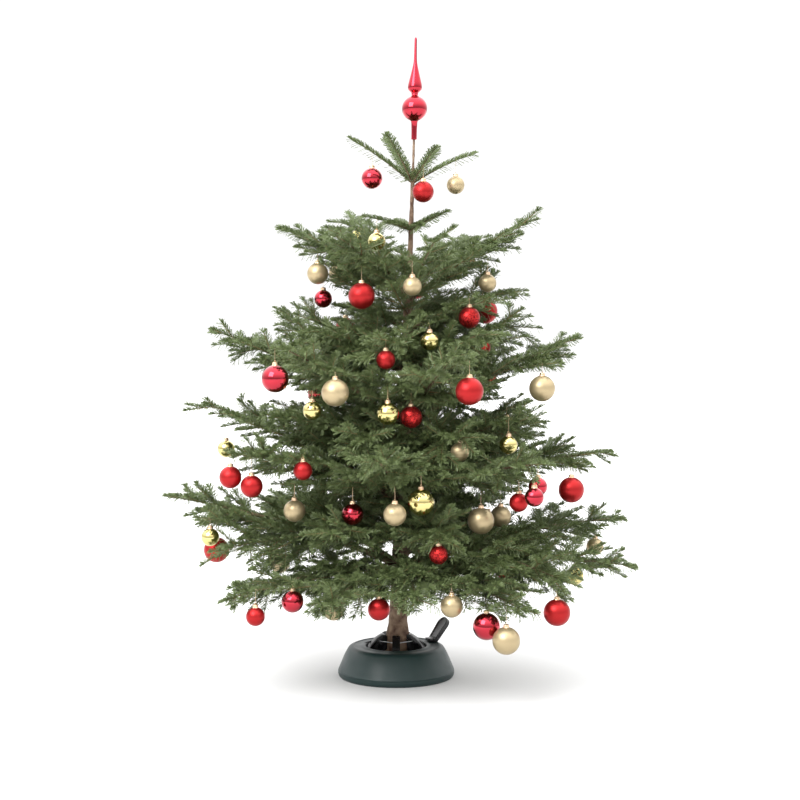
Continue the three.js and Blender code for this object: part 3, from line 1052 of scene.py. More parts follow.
@dataclass
class Foliage:
    """The needles and twigs on the crown's shoots, as joined meshes."""

    crown: Crown
    seed: int = 5
    per_metre: float = 1200.0
    needle: float = 27 * MM
    width: float = 2.2 * MM
    tip_needles: int = 22  # that crowd round a shoot's end
    fewest: int = 4  # needles that a shoot must have room for
    tip_reach: float = 0.03  # how far from its end a shoot's needles turn forward
    deep_share: float = 0.2  # the share of needles up to which they are deep green
    # Single needles dealt light green at random are painted glints.
    painted_glint_share: float = 0.08  # and, before that, light green
    pale_from: float = 0.96  # and from which they show their pale side
    # Degrees from straight up at which a shoot's needles stand, in the order they come in.
    rows: tuple[float, ...] = (84, -84, 54, -54, 22, -22, 84, -84, 54, -54, -8, 160)
    groups: tuple[tuple[str, tuple[str, ...]], ...] = (
        ("top", ("top", "shoulder", "high_1", "high_2", "high_3", "high_4", "high_5", "high_6")),
        ("middle_left", ("middle_1", "middle_2", "middle_6", "waist")),
        ("middle_right", ("middle_3", "middle_4", "middle_5", "chest")),
        ("low_left", ("low_1", "low_2", "low_7")),
        ("low_right", ("low_3", "low_4", "low_5", "low_6")),
        ("heart", ("heart",)),
        ("skirt", ("skirt",)),
        ("base_left", ("base_1", "base_2", "base_3", "base_9")),
        ("base_right", ("base_4", "base_5", "base_6", "base_7", "base_8")),
    )

    def __post_init__(self) -> None:
        """Seeds the needles' own dice."""
        self.dice = np.random.default_rng(self.seed)
        self.triangles = 0

    def needles(self, shoot: Shoot, batch: Batch, clear: Callable[[np.ndarray], np.ndarray]) -> None:
        """Sets a shoot's needles in rows: combed to both sides, shorter and forward on top.

        Args:
            shoot: the shoot.
            batch: the mesh that they join.
            clear: says which of an array of points are free for needles.
        """
        steps = np.diff(shoot.line, axis=0)
        sizes = np.linalg.norm(steps, axis=1)
        reached = np.concatenate([[0], np.cumsum(sizes)])
        total = reached[-1]
        start = shoot.bare * total
        count = int((total - start) * self.per_metre * shoot.dense)
        if count < self.fewest:
            return
        dice = self.dice
        order = np.arange(count)
        step = len(self.rows) / 2
        place = start + (total - start) * (order // step * step + 1.5 * dice.random(count)) / count
        place = np.concatenate([np.minimum(place, total), np.full(self.tip_needles, total - 0.5 * MM)])
        count += self.tip_needles
        index = np.clip(np.searchsorted(reached, place, side="right") - 1, 0, len(steps) - 1)
        foot = shoot.line[index] + steps[index] * ((place - reached[index]) / sizes[index])[:, None]
        along = steps[index] / sizes[index][:, None]
        above = unit(shoot.above - along * (along @ shoot.above)[:, None])
        across = np.cross(along, above)
        rows = np.array(self.rows)[np.arange(count) % len(self.rows)]
        bearing = np.radians(rows + dice.normal(0, 7, count))
        turn = np.cos(bearing)[:, None] * above + np.sin(bearing)[:, None] * across
        topness = np.clip(np.cos(bearing), 0, 1)
        near_tip = np.clip((place - total + self.tip_reach) / self.tip_reach, 0, 1)
        splay = 57 - 14 * topness - 18 * near_tip + dice.normal(0, 4, count)
        splay[count - self.tip_needles :] = dice.uniform(6, 66, self.tip_needles)
        splay = np.radians(splay)
        way = np.cos(splay)[:, None] * along + np.sin(splay)[:, None] * turn
        size = self.needle * (1 - 0.28 * topness) * (1 - 0.22 * near_tip)
        size = size * dice.uniform(0.88, 1.08, count)
        tip = foot + way * size[:, None]
        keep = clear(tip) & clear(foot)
        flat = unit(np.cross(way, turn))
        third = np.cross(flat, way)
        spin = np.radians(dice.uniform(-75, 75, count))
        wide = np.cos(spin)[:, None] * flat + np.sin(spin)[:, None] * third
        wide = wide * self.width / 2
        twist = third * self.width * 0.12
        corners = np.stack([foot - 0.6 * wide, foot + 0.6 * wide + twist, tip + wide, tip - wide], 1)
        corners = corners[keep]
        chance = dice.random(count)
        tints = np.full(count, shoot.tone.value)
        tints[chance < self.deep_share] = Tone.DEEP.value
        # Painted glints: a few needles at random turn light green.
        tints[chance < self.painted_glint_share] = Tone.LIGHT.value
        tints[(np.cos(bearing) < -0.1) | (chance > self.pale_from)] = Tone.PALE.value
        tints = tints[keep]
        made = len(corners)
        first = 4 * np.arange(made)[:, None]
        pair = np.stack([first + [0, 1, 2], first + [0, 2, 3]], 1).reshape(-1, 3)
        batch.add(corners.reshape(-1, 3), pair, np.repeat(tints, 2))

    def twig(self, shoot: Shoot, batch: Batch) -> None:
        """Wraps a shoot's line in a thin tapering rind.

        Args:
            shoot: the shoot.
            batch: the mesh that it joins.
        """
        sides = 3
        count = len(shoot.line)
        along = unit(np.gradient(shoot.line, axis=0))
        above = unit(shoot.above - along * (along @ shoot.above)[:, None])
        across = np.cross(along, above)
        angle = 2 * math.pi * np.arange(sides) / sides
        radius = shoot.thick + (0.7 * MM - shoot.thick) * np.linspace(0, 1, count)
        over = np.cos(angle)[None, :, None] * above[:, None]
        ring = over + np.sin(angle)[None, :, None] * across[:, None]
        points = shoot.line[:, None] + ring * radius[:, None, None]
        points = np.concatenate([points.reshape(-1, 3), shoot.line[-1:]])
        rows = sides * np.arange(count - 1)[:, None]
        here = np.arange(sides)
        after = (here + 1) % sides
        lower = np.stack([rows + here, rows + after, rows + sides + after], -1)
        upper = np.stack([rows + here, rows + sides + after, rows + sides + here], -1)
        last = sides * (count - 1)
        end = np.stack([last + here, last + after, np.full(sides, sides * count)], -1)
        faces = np.concatenate([lower.reshape(-1, 3), upper.reshape(-1, 3), end])[:, ::-1]
        batch.add(points, faces, np.zeros(len(faces), int))

    def build(self, clear: Callable[[np.ndarray], np.ndarray]) -> None:
        """Makes a piece of needles and a piece of twigs for each part of the crown.

        Args:
            clear: says which of an array of points are free for needles.
        """
        greens = [finish.material() for finish in NEEDLE_FINISHES]
        rind = TWIG_BARK.material()
        for group, masses in self.groups:
            needles, twigs = Batch(), Batch()
            nodes = [f"foliage_{mass}" for mass in masses]
            for node in nodes:
                for shoot in self.crown.shoots[node]:
                    self.needles(shoot, needles, clear)
                    if shoot.order > 1:
                        self.twig(shoot, twigs)
            piece = needles.piece(f"needles_{group}", False)
            dress(piece, *greens)
            settle(piece, nodes)
            stems = twigs.piece(f"twigs_{group}", True)
            dress(stems, rind)
            settle(stems, nodes)
            self.triangles += len(piece.data.polygons) + len(stems.data.polygons)
        LOG.info("foliage: %d triangles in all", self.triangles)


# ---------- trunk ----------


@dataclass
class Trunk:
    """The trunk and its limbs, with the bark's relief."""

    sides: int = 32
    step: float = 14 * MM  # between rings
    swelling: float = 0.12  # of the trunk at a whorl, as a share of its radius
    spread: float = 16 * MM  # how far from a whorl the swelling dies away
    relief: float = 2.6 * MM
    blisters: float = 0.9 * MM

    def radius(self) -> tuple[np.ndarray, np.ndarray]:
        """Reads the CAD trunk's heights and its radius at each."""
        points = node_points("trunk")
        away = np.hypot(points[:, 0] - LEAN * points[:, 2], points[:, 1])
        heights = np.unique(np.round(points[:, 2], 4))
        radii = [away[np.abs(points[:, 2] - height) < MM].max() for height in heights]
        return heights, np.array(radii)

    def trunk(self) -> bpy.types.Object:
        """Draws the trunk from its cut foot to its leader, swollen at each whorl."""
        heights, radii = self.radius()
        count = int((heights[-1] - heights[0]) / self.step)
        rings = []
        for height in np.linspace(heights[0], heights[-1], count):
            swell = sum(
                math.exp(-(((height - whorl) / self.spread) ** 2))
                for whorl in (*TIERS.values(), *COLLARS.values())
            )
            radius = np.interp(height, heights, radii) * (1 + self.swelling * swell)
            rings.append((float(radius), float(height)))
        piece = turned("trunk_bark", rings, self.sides, LEAN)
        apply_modifier(piece, "SUBSURF", levels=1, render_levels=1, subdivision_type="SIMPLE")
        self.roughen(piece, 1.0)
        return piece

    def roughen(self, piece: bpy.types.Object, share: float) -> None:
        """Raises the bark's plates and blisters on a surface.

        Args:
            piece: the surface.
            share: how strong the relief is, against the trunk's.
        """
        plates = relief("CLOUDS", 22 * MM)
        apply_modifier(
            piece, "DISPLACE", texture=plates, strength=self.relief * share, mid_level=0.6
        )
        bumps = relief("STUCCI", 6 * MM)
        apply_modifier(
            piece, "DISPLACE", texture=bumps, strength=self.blisters * share, mid_level=0.6
        )

    def limbs(self, crown: Crown) -> bpy.types.Object:
        """Draws every bough's own wood, flared where it leaves the trunk.

        Args:
            crown: the crown that the boughs belong to.

        Returns:
            All the limbs as one object.
        """
        lines, radii = [], []
        for group in crown.shoots.values():
            for shoot in group:
                if shoot.order == 1:
                    away = np.linalg.norm(shoot.line - shoot.line[0], axis=1)
                    taper = shoot.thick * (1 - 0.85 * away / away[-1])
                    lines.append(shoot.line)
                    radii.append(taper * (1 + 0.5 * np.exp(-away / (25 * MM))))
        piece = tube("limb_bark", lines, radii, 10)
        apply_modifier(piece, "SUBSURF", levels=1, render_levels=1, subdivision_type="SIMPLE")
        self.roughen(piece, 0.5)
        return piece

    def build(self, crown: Crown) -> None:
        """Makes and dresses the trunk and the limbs.

        Args:
            crown: the crown that the boughs belong to.
        """
        trunk = self.trunk()
        dress(trunk, TRUNK_BARK.material())
        smooth(trunk, 60)
        settle(trunk, ["trunk"])
        limbs = self.limbs(crown)
        dress(limbs, LIMB_BARK.material())
        smooth(limbs, 60)
        settle(limbs, [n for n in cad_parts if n.startswith("limb_")])


# ---------- stand ----------


@dataclass
class Stand:
    """The cable-clamp stand: basin, five claws, tension cable and foot pedal."""

    sides: int = 96
    shoulder: float = 145 * MM
    foot: float = 179 * MM
    mouth: float = 96 * MM
    well: float = 90 * MM
    well_floor: float = 10 * MM
    cable: float = 66 * MM  # from the axis to the cable's corners
    wire: float = 1.6 * MM
    cable_height: float = 115 * MM
    claws: int = 5
    first_claw: float = 270.0  # the first claw's bearing
    pedal_bearing: float = 30.0

    def basin(self) -> bpy.types.Object:
        """Draws the basin: sloping skirt, soft shoulder, dished rim, mouth and well."""
        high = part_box("stand_basin")[1]
        edge, top = high.x, high.z
        foot, shoulder, mouth, well = self.foot, self.shoulder, self.mouth, self.well
        rings = [
            (foot - 8 * MM, 0.0),
            (foot - 1.5 * MM, 0.0),
            (foot, 0.8 * MM),
            (foot + 2.6 * MM, 4 * MM),
            (edge - 0.8 * MM, 8 * MM),
            (edge, 12 * MM),
            (edge - 0.1 * MM, 18.4 * MM),
            (edge - 1.3 * MM, 19.2 * MM),
            (edge - 1.4 * MM, 20.4 * MM),
            (edge - 0.7 * MM, 21.2 * MM),
            (edge - 6 * MM, 34 * MM),
            (edge - 13.5 * MM, 52 * MM),
            (edge - 21.5 * MM, 70 * MM),
            (shoulder + 12 * MM, 80 * MM),
            (shoulder + 8.5 * MM, 86.5 * MM),
            (shoulder + 5 * MM, 91.5 * MM),
            (shoulder + 0.5 * MM, 94.5 * MM),
            (shoulder - 5 * MM, top - 1.2 * MM),
            (shoulder - 10 * MM, top - 0.8 * MM),
            (shoulder - 12 * MM, top - 2.4 * MM),
            (shoulder - 28 * MM, top - 3 * MM),
            (mouth + 16 * MM, top - 2 * MM),
            (mouth + 12 * MM, top - 0.3 * MM),
            (mouth + 6 * MM, top),
            (mouth + 2 * MM, top - 1 * MM),
            (mouth, top - 4 * MM),
            (mouth - 0.6 * MM, top - 12 * MM),
            (well + 1 * MM, 40 * MM),
            (well - 1 * MM, self.well_floor + 6 * MM),
            (well - 6 * MM, self.well_floor + 0.6 * MM),
            (well - 14 * MM, self.well_floor),
            (4 * MM, self.well_floor),
        ]
        return turned("stand_basin_shell", rings, self.sides)

    def claw(self, index: int) -> bpy.types.Object:
        """Dresses one claw: sunk panels on its sides and rounded edges.

        Args:
            index: its number, from 1.

        Returns:
            The claw.
        """
        bearing = math.radians(self.first_claw + 360 / self.claws * (index - 1))
        across = Vector((-math.sin(bearing), math.cos(bearing), 0))
        piece = copy_of(f"stand_claw_{index}", f"clamp_claw_{index}")
        edit(True)
        if pick(piece, lambda f: abs(f.normal.dot(across)) > 0.98 and f.area > 6e-4):
            bpy.ops.mesh.inset(thickness=5 * MM, depth=0, use_individual=True)
            bpy.ops.mesh.inset(thickness=1 * MM, depth=-2.2 * MM, use_individual=True)
        edit(False)
        apply_modifier(piece, "BEVEL", width=1.1 * MM, segments=2, limit_method="ANGLE")
        return piece

    def rope(self) -> bpy.types.Object:
        """Draws the tension cable from claw to claw, with a soft corner in each."""
        corners = [
            np.array([math.cos(a), math.sin(a), 0]) * self.cable + UP * self.cable_height
            for a in (math.radians(self.first_claw + 360 / self.claws * n) for n in range(self.claws))
        ]
        points = []
        for index, corner in enumerate(corners):
            before, after = corners[index - 1], corners[(index + 1) % self.claws]
            near = corner + unit(before - corner) * 5 * MM
            far = corner + unit(after - corner) * 5 * MM
            points += [near, (near + far + 2 * corner) / 4, far]
            points += [far + (after - far) * share for share in (0.3, 0.6)]
        line = np.array(points)
        return tube("clamp_cable", [line], [np.full(len(line), self.wire)], 8, closed=True)

    def pedal(self) -> bpy.types.Object:
        """Dresses the pedal: a framed tread and rounded edges."""
        piece = copy_of("stand_pedal", "foot_pedal")
        bearing = math.radians(self.pedal_bearing)
        out = Vector((math.cos(bearing), math.sin(bearing), 0))
        edit(True)

        def broad(face: bpy.types.MeshPolygon) -> bool:
            """Says whether a face is one of the pedal's two broad, sloping sides."""
            sloping = abs(face.normal.dot(out)) > 0.6 and face.normal.z != 0
            return sloping and face.area > 15e-4

        if pick(piece, broad):
            bpy.ops.mesh.inset(thickness=5 * MM, depth=0, use_individual=True)
            bpy.ops.mesh.inset(thickness=1 * MM, depth=-2 * MM, use_individual=True)
        edit(False)
        apply_modifier(piece, "BEVEL", width=1.6 * MM, segments=3, limit_method="ANGLE")
        return piece

    def build(self) -> None:
        """Makes and dresses every part of the stand."""
        black = CLAW_PLASTIC.material()
        basin = self.basin()
        dress(basin, BASIN_PLASTIC.material())
        smooth(basin, 32)
        settle(basin, ["stand_basin"])
        for index in range(1, self.claws + 1):
            claw = self.claw(index)
            dress(claw, black)
            smooth(claw)
            settle(claw, [f"stand_claw_{index}"])
        rope = self.rope()
        dress(rope, ROPE_STEEL.material())
        smooth(rope, 60)
        settle(rope, ["stand_cable"])
        pedal = self.pedal()
        dress(pedal, black)
        smooth(pedal)
        settle(pedal, ["stand_pedal"])


# ---------- glass ----------


@dataclass
class Spire:
    """The blown-glass spire on the leader: tube, ball, bulb and long point."""

    sides: int = 48
    foot: float = 1.687
    tilt: float = 1.0  # degrees, to the right
    ball: float = 40 * MM
    ball_height: float = 96.5 * MM

    def rings(self) -> list[tuple[float, float]]:
        """Lists its rings in metres above its foot, from inside its socket to its point."""
        socket = [(6.4, 30), (6.4, 0.8), (7.0, 0), (8.0, 0), (8.6, 0.8), (8.8, 2), (8.7, 4)]
        sleeve = [(8.9, 30), (9.8, 52), (11, 56.8)]
        point = [
            (13.4, 134.4), (11.2, 137), (10.3, 140), (10.4, 143), (12.4, 146), (17, 149.5), (21, 154),
            (22.3, 159), (22.5, 164), (21.6, 171), (20, 178), (18, 186), (15.4, 196), (12.9, 206),
            (10.2, 217), (7.6, 228), (5.8, 238), (4.9, 248), (4.4, 264), (4.1, 284), (3.9, 306),
            (3.7, 311), (3, 314), (1.8, 315.6), (0.4, 316),
        ]  # fmt: skip
        turns = np.radians(np.arange(-68, 69, 8))
        ball = [
            (self.ball * math.cos(turn), self.ball_height + self.ball * math.sin(turn))
            for turn in turns
        ]
        first = [(radius * MM, height * MM) for radius, height in socket + sleeve]
        last = [(radius * MM, height * MM) for radius, height in point]
        return first + ball + last

    def build(self) -> None:
        """Makes and dresses the spire."""
        lean = math.tan(math.radians(self.tilt))
        start = LEAN * self.foot - lean * self.foot
        rings = [(radius, self.foot + height) for radius, height in self.rings()]
        piece = turned("spire_glass", rings, self.sides, lean, start)
        dress(piece, RED_MIRROR.material())
        smooth(piece, 40)
        settle(piece, ["finial"])


class Kind(Enum):
    """The finishes that the balls come in."""

    MIRROR = "red_mirror"
    SATIN = "red_satin"
    GLITTER = "red_glitter"
    GOLD = "gold"
    PEARL = "champagne"


class Size(Enum):
    """The balls' radii, in metres."""

    SMALL = 28 * MM
    MEDIUM = 33 * MM
    LARGE = 40 * MM


S, M, L = Size.SMALL, Size.MEDIUM, Size.LARGE


@dataclass
class Ball:
    """One glass ball where it hangs."""

    centre: np.ndarray
    radius: float
    kind: Kind
    hook: float


@dataclass
class Ornaments:
    """The glass balls, each hung from a twig by its cap, loop and wire hook."""

    crown: Crown
    eye: np.ndarray
    seed: int = 23
    back_count: int = 40
    back_top: float = 1.48
    cap: float = 8 * MM
    loop: float = 4 * MM
    hook: tuple[float, float] = (10 * MM, 36 * MM)
    stray: float = 75 * MM  # how far a front ball may hang from where it's wanted
    tether: float = 5.0  # what straying costs, against hanging further back
    depth: float = 0.14  # how far behind the first twig a deep ball hangs
    apart: float = 0.15  # between the balls at the back
    # Where the front balls show, at the trunk's distance: how far right, how high, size and kind,
    # and whether the ball hangs deep among the twigs.
    front: tuple[tuple[float, float, Size, Kind, bool], ...] = (
        (-0.08, 1.55, M, Kind.MIRROR, False),
        (0.06, 1.50, M, Kind.SATIN, False),
        (0.19, 1.54, S, Kind.PEARL, False),
        (-0.06, 1.37, S, Kind.GOLD, True),
        (-0.25, 1.27, M, Kind.PEARL, True),
        (-0.23, 1.19, S, Kind.MIRROR, False),
        (-0.11, 1.15, L, Kind.SATIN, False),
        (0.04, 1.23, S, Kind.PEARL, False),
        (0.23, 1.18, M, Kind.GLITTER, False),
        (0.29, 1.24, S, Kind.PEARL, True),
        (0.14, 1.06, S, Kind.GOLD, False),
        (-0.03, 1.00, S, Kind.SATIN, False),
        (0.27, 1.04, S, Kind.SATIN, True),
        (-0.43, 0.92, L, Kind.MIRROR, False),
        (-0.20, 0.92, L, Kind.PEARL, False),
        (-0.27, 0.84, S, Kind.GOLD, False),
        (-0.04, 0.83, M, Kind.GOLD, False),
        (0.05, 0.82, M, Kind.GLITTER, False),
        (0.29, 0.90, L, Kind.SATIN, False),
        (0.46, 0.91, L, Kind.PEARL, False),
        (-0.26, 0.69, S, Kind.SATIN, False),
        (-0.53, 0.72, S, Kind.GOLD, True),
        (-0.52, 0.63, M, Kind.SATIN, True),
        (-0.47, 0.59, M, Kind.SATIN, False),
        (-0.31, 0.52, M, Kind.PEARL, False),
        (-0.14, 0.49, M, Kind.MIRROR, False),
        (-0.03, 0.46, M, Kind.PEARL, False),
        (0.08, 0.55, L, Kind.GOLD, False),
        (0.26, 0.49, L, Kind.PEARL, False),
        (0.33, 0.46, M, Kind.PEARL, True),
        (0.34, 0.73, S, Kind.GOLD, False),
        (0.20, 0.71, S, Kind.PEARL, True),
        (0.38, 0.55, S, Kind.SATIN, False),
        (0.44, 0.57, S, Kind.MIRROR, False),
        (0.50, 0.60, S, Kind.MIRROR, True),
        (0.56, 0.59, L, Kind.SATIN, False),
        (-0.57, 0.38, L, Kind.SATIN, True),
        (-0.53, 0.44, S, Kind.GOLD, False),
        (-0.33, 0.31, M, Kind.MIRROR, False),
        (-0.44, 0.18, S, Kind.SATIN, False),
        (-0.20, 0.21, M, Kind.PEARL, True),
        (-0.06, 0.21, M, Kind.SATIN, False),
        (0.13, 0.40, S, Kind.GLITTER, False),
        (0.20, 0.22, M, Kind.PEARL, False),
        (0.29, 0.21, L, Kind.MIRROR, False),
        (0.33, 0.11, L, Kind.PEARL, False),
        (0.35, 0.33, S, Kind.SATIN, True),
        (0.51, 0.20, L, Kind.SATIN, False),
        (0.63, 0.41, S, Kind.PEARL, True),
        (0.57, 0.32, S, Kind.GOLD, True),
    )

    def __post_init__(self) -> None:
        """Gathers the twigs that can carry a ball, and all the wood to keep clear of."""
        self.dice = np.random.default_rng(self.seed)
        self.balls: list[Ball] = []
        every = [shoot for group in self.crown.shoots.values() for shoot in group]
        carriers = [s.line[1:] for s in every if s.order in (2, 3)]
        carriers += [s.line[10:] for s in every if s.order == 1]
        self.twigs = np.concatenate(carriers)
        self.wood = np.concatenate([s.line for s in every if s.order < 3])
        trunk = np.linspace(0.1, 1.7, 160)[:, None]
        self.wood = np.concatenate([self.wood, trunk * np.array([LEAN, 0, 1])])

    def fits(self, centre: np.ndarray, radius: float, apart: float) -> bool:
        """Says whether a ball has room.

        Args:
            centre: the ball's middle.
            radius: its radius.
            apart: the least space between it and the next ball.

        Returns:
            Whether it clears every other ball, the wood and the floor.
        """
        if centre[2] < radius + 20 * MM:
            return False
        for other in self.balls:
            if np.linalg.norm(other.centre - centre) < other.radius + radius + apart:
                return False
        return bool(np.linalg.norm(self.wood - centre, axis=1).min() > radius + 3 * MM)

    def seen(self, centre: np.ndarray, radius: float) -> bool:
        """Says whether no bough or side shoot crosses before a ball.

        Args:
            centre: the ball's middle.
            radius: its radius.

        Returns:
            Whether it shows whole once the shortest shoots are thinned.
        """
        away = self.wood - centre
        ahead = away @ unit(self.eye - centre)
        aside = np.sqrt(np.maximum((away**2).sum(1) - ahead**2, 0))
        return not ((ahead > 0) & (aside < 0.9 * radius)).any()

    def hang(self, centre: np.ndarray, twig: np.ndarray, radius: float, kind: Kind) -> None:
        """Adds a ball under a twig.

        Args:
            centre: the ball's middle.
            twig: the point that its hook goes over.
            radius: its radius.
            kind: its finish.
        """
        hook = float(twig[2] - centre[2] - radius - self.cap - self.loop)
        self.balls.append(Ball(centre, radius, kind, hook))

    def hang_front(self, right: float, high: float, radius: float, kind: Kind, deep: bool) -> bool:
        """Hangs a ball where it shows at a given place from the front.

        Args:
            right: its place at the trunk's distance, in X.
            high: and in Z.
            radius: its radius.
            kind: its finish.
            deep: whether it hangs among the twigs, not before them.

        Returns:
            Whether a twig was found for it.
        """
        way = unit(np.array([right, 0, high]) - self.eye)
        drop = radius + self.cap + self.loop
        share = (self.twigs[:, 1] - self.eye[1]) / way[1]
        on_line = self.eye + way * share[:, None]
        sideways = np.abs(self.twigs[:, 0] - on_line[:, 0])
        hook = self.twigs[:, 2] - on_line[:, 2] - drop
        low, high_hook = self.hook
        misfit = np.maximum(low - hook, 0) + np.maximum(hook - high_hook, 0)
        astray = sideways + misfit
        near = np.flatnonzero(astray < self.stray)
        if not len(near):
            return False
        nearest = self.twigs[near, 1].min() + (self.depth if deep else 0.0)
        cost = np.abs(self.twigs[near, 1] - nearest) + self.tether * astray[near]
        spare = None
        for index in near[cost.argsort()]:
            twig = self.twigs[index]
            own = float(np.clip(hook[index], low, high_hook))
            centre = twig - UP * (drop + own)
            if not self.fits(centre, radius, 2 * MM):
                continue
            if deep or self.seen(centre, radius):
                self.hang(centre, twig, radius, kind)
                return True
            spare = spare or (centre, twig)
        if spare:
            self.hang(*spare, radius, kind)
        return spare is not None

    def hang_back(self) -> None:
        """Hangs balls over the half that faces away, spaced out by chance."""
        kinds = (Kind.SATIN, Kind.PEARL, Kind.MIRROR, Kind.GOLD, Kind.GLITTER)
        odds = (0.3, 0.27, 0.2, 0.15, 0.08)
        # The crown's reach grows from 0.2 m at the top to 0.58 m at the foot.
        outer = np.hypot(self.twigs[:, 0] - LEAN * self.twigs[:, 2], self.twigs[:, 1])
        reach = 0.2 + 0.38 * np.clip((1.75 - self.twigs[:, 2]) / 1.4, 0, 1)
        aside = np.abs(self.twigs[:, 0] - LEAN * self.twigs[:, 2])
        hidden = (self.twigs[:, 1] > 0.1) & (aside < 0.75 * reach) & (self.twigs[:, 2] > 0.36)
        low = self.twigs[:, 2] < self.back_top
        places = np.flatnonzero(hidden & (outer > 0.72 * reach) & low)
        hung = 0
        for index in self.dice.permutation(places):
            radius = (S, M, L)[self.dice.integers(3)].value
            kind = kinds[self.dice.choice(5, p=odds)]
            hook = self.dice.uniform(*self.hook)
            twig = self.twigs[index]
            centre = twig - UP * (radius + self.cap + self.loop + hook)
            if self.fits(centre, radius, self.apart - 2 * radius):
                self.hang(centre, twig, radius, kind)
                hung += 1
            if hung == self.back_count:
                break

    def free(self, points: np.ndarray) -> np.ndarray:
        """Says which points no ball takes up, and which don't hide a ball from the front.

        Args:
            points: one point in each row.

        Returns:
            Whether each is free.
        """
        away = points[:, None] - self.centres[None]
        reach = np.linalg.norm(away, axis=2)
        inside = reach < self.radii + 1.5 * MM
        ahead = (away * self.sight[None]).sum(2)
        aside = np.sqrt(np.maximum(reach**2 - ahead**2, 0))
        hiding = (ahead > 0) & (aside < 1.06 * self.radii) & self.shown
        return ~(inside | hiding).any(axis=1)

    def thin(self) -> None:
        """Takes out the shortest shoots that would run through or hide a ball."""
        self.centres = np.array([ball.centre for ball in self.balls])
        self.radii = np.array([ball.radius for ball in self.balls])
        self.sight = unit(self.eye - self.centres)
        for name, group in self.crown.shoots.items():
            kept = [s for s in group if s.order < 3 or self.free(s.line[1:]).all()]
            self.crown.shoots[name] = kept

    def plan(self) -> None:
        """Finds a twig for every ball and clears its place."""
        shown = []
        for right, high, size, kind, deep in self.front:
            if self.hang_front(right, high, size.value, kind, deep):
                shown.append(not deep)
            else:
                LOG.info("no twig for a ball at %.2f, %.2f", right, high)
        self.hang_back()
        shown += [False] * (len(self.balls) - len(shown))
        self.shown = np.array(shown)
        self.thin()
        LOG.info("ornaments: %d balls", len(self.balls))

    def ball_shape(self) -> tuple[np.ndarray, np.ndarray]:
        """Models a ball of radius one, with the short neck that its cap sits on."""
        deselect()
        bpy.ops.mesh.primitive_uv_sphere_add(segments=32, ring_count=20, radius=1)
        piece = bpy.context.object
        edit(True)
        pick(piece, lambda face: face.center.z > 0.985)
        bpy.ops.mesh.extrude_region_move(TRANSFORM_OT_translate={"value": (0, 0, 0.09)})
        edit(False)
        return arrays(piece)

    def cap_shape(self) -> tuple[np.ndarray, np.ndarray]:
        """Models the cap: a crimped skirt, a rolled shoulder and a flat top."""
        rings = [
            (9.6, -1.2), (9.2, -0.6), (8.6, 1.0), (8.4, 4.6), (8.1, 6.2), (7.2, 7.3), (5.6, 7.9), (0.5, 8.1),
        ]  # fmt: skip
        piece = turned("cap_shape", [(radius * MM, height * MM) for radius, height in rings], 24)
        activate(piece)
        edit(True)
        bpy.ops.mesh.select_mode(type="VERT")
        bpy.ops.mesh.select_all(action="DESELECT")
        edit(False)
        for vertex in piece.data.vertices:
            turn = round(math.degrees(math.atan2(vertex.co.y, vertex.co.x)) / 15)
            vertex.select = vertex.co.z < 5 * MM and turn % 2 == 0
        edit(True)
        bpy.ops.transform.resize(value=(0.9, 0.9, 1), center_override=(0, 0, 0))
        edit(False)
        return arrays(piece)

    def loop_shape(self) -> tuple[np.ndarray, np.ndarray]:
        """Models the wire loop that stands on the cap."""
        deselect()
        bpy.ops.mesh.primitive_torus_add(
            major_segments=14,
            minor_segments=5,
            major_radius=2.8 * MM,
            minor_radius=0.5 * MM,
            rotation=(math.pi / 2, 0, 0),
        )
        piece = bpy.context.object
        bpy.ops.object.transform_apply(rotation=True)
        return arrays(piece)

    def hook_shape(self) -> tuple[np.ndarray, np.ndarray]:
        """Models the wire hook, one metre long: an eye below and a crook over the twig."""
        eye = [(-1.4, 0.0), (0.0, -1.0), (1.4, 0.2), (0.6, 2.4)]
        crook = [(0.0, 1.0), (0.8, 3.4), (3.2, 4.4), (5.4, 3.2), (5.8, 0.4)]
        low = [np.array([x * MM, 0, z * MM]) for x, z in eye]
        high = [np.array([x * MM, 0, 1 + z * MM]) for x, z in crook]
        line = np.array(low + high)
        piece = tube("hook_shape", [line], [np.full(len(line), 0.45 * MM)], 4)
        return arrays(piece)

    def collect(self) -> None:
        """Copies the shapes to every ball's place and joins them, each finish apart."""
        ball, cap, loop, hook = (
            self.ball_shape(),
            self.cap_shape(),
            self.loop_shape(),
            self.hook_shape(),
        )
        batches = {kind: Batch() for kind in Kind}
        caps, hooks = Batch(), Batch()
        for hung in self.balls:
            turn = self.dice.uniform(0, math.pi)
            spin = np.array(
                [[math.cos(turn), -math.sin(turn), 0], [math.sin(turn), math.cos(turn), 0], [0, 0, 1]]
            )
            crest = hung.centre + UP * hung.radius
            self.copy(batches[hung.kind], ball, hung.radius * spin, hung.centre)
            self.copy(caps, cap, spin, crest)
            self.copy(caps, loop, spin, crest + UP * (self.cap + 1.6 * MM))
            stretched = ball_hook(hook[0], hung.hook)
            at = crest + UP * (self.cap + self.loop)
            self.copy(hooks, (stretched, hook[1]), spin, at)
        finishes = {
            Kind.MIRROR: (RED_MIRROR, Slot.RED_GLASS),
            Kind.SATIN: (RED_SATIN, Slot.RED_GLASS_MATTE),
            Kind.GLITTER: (RED_GLITTER, Slot.RED_GLASS_MATTE),
            Kind.GOLD: (GOLD_MIRROR, Slot.GOLD_GLASS),
            Kind.PEARL: (CHAMPAGNE_SATIN, Slot.CHAMPAGNE_GLASS),
        }
        for kind, batch in batches.items():
            finish, slot = finishes[kind]
            piece = batch.piece(f"balls_{kind.value}", True)
            dress(piece, finish.material())
            settle(piece, [])
        metal = CAP_METAL.material()
        for name, batch in (("ball_caps", caps), ("ball_hooks", hooks)):
            piece = batch.piece(name, False)
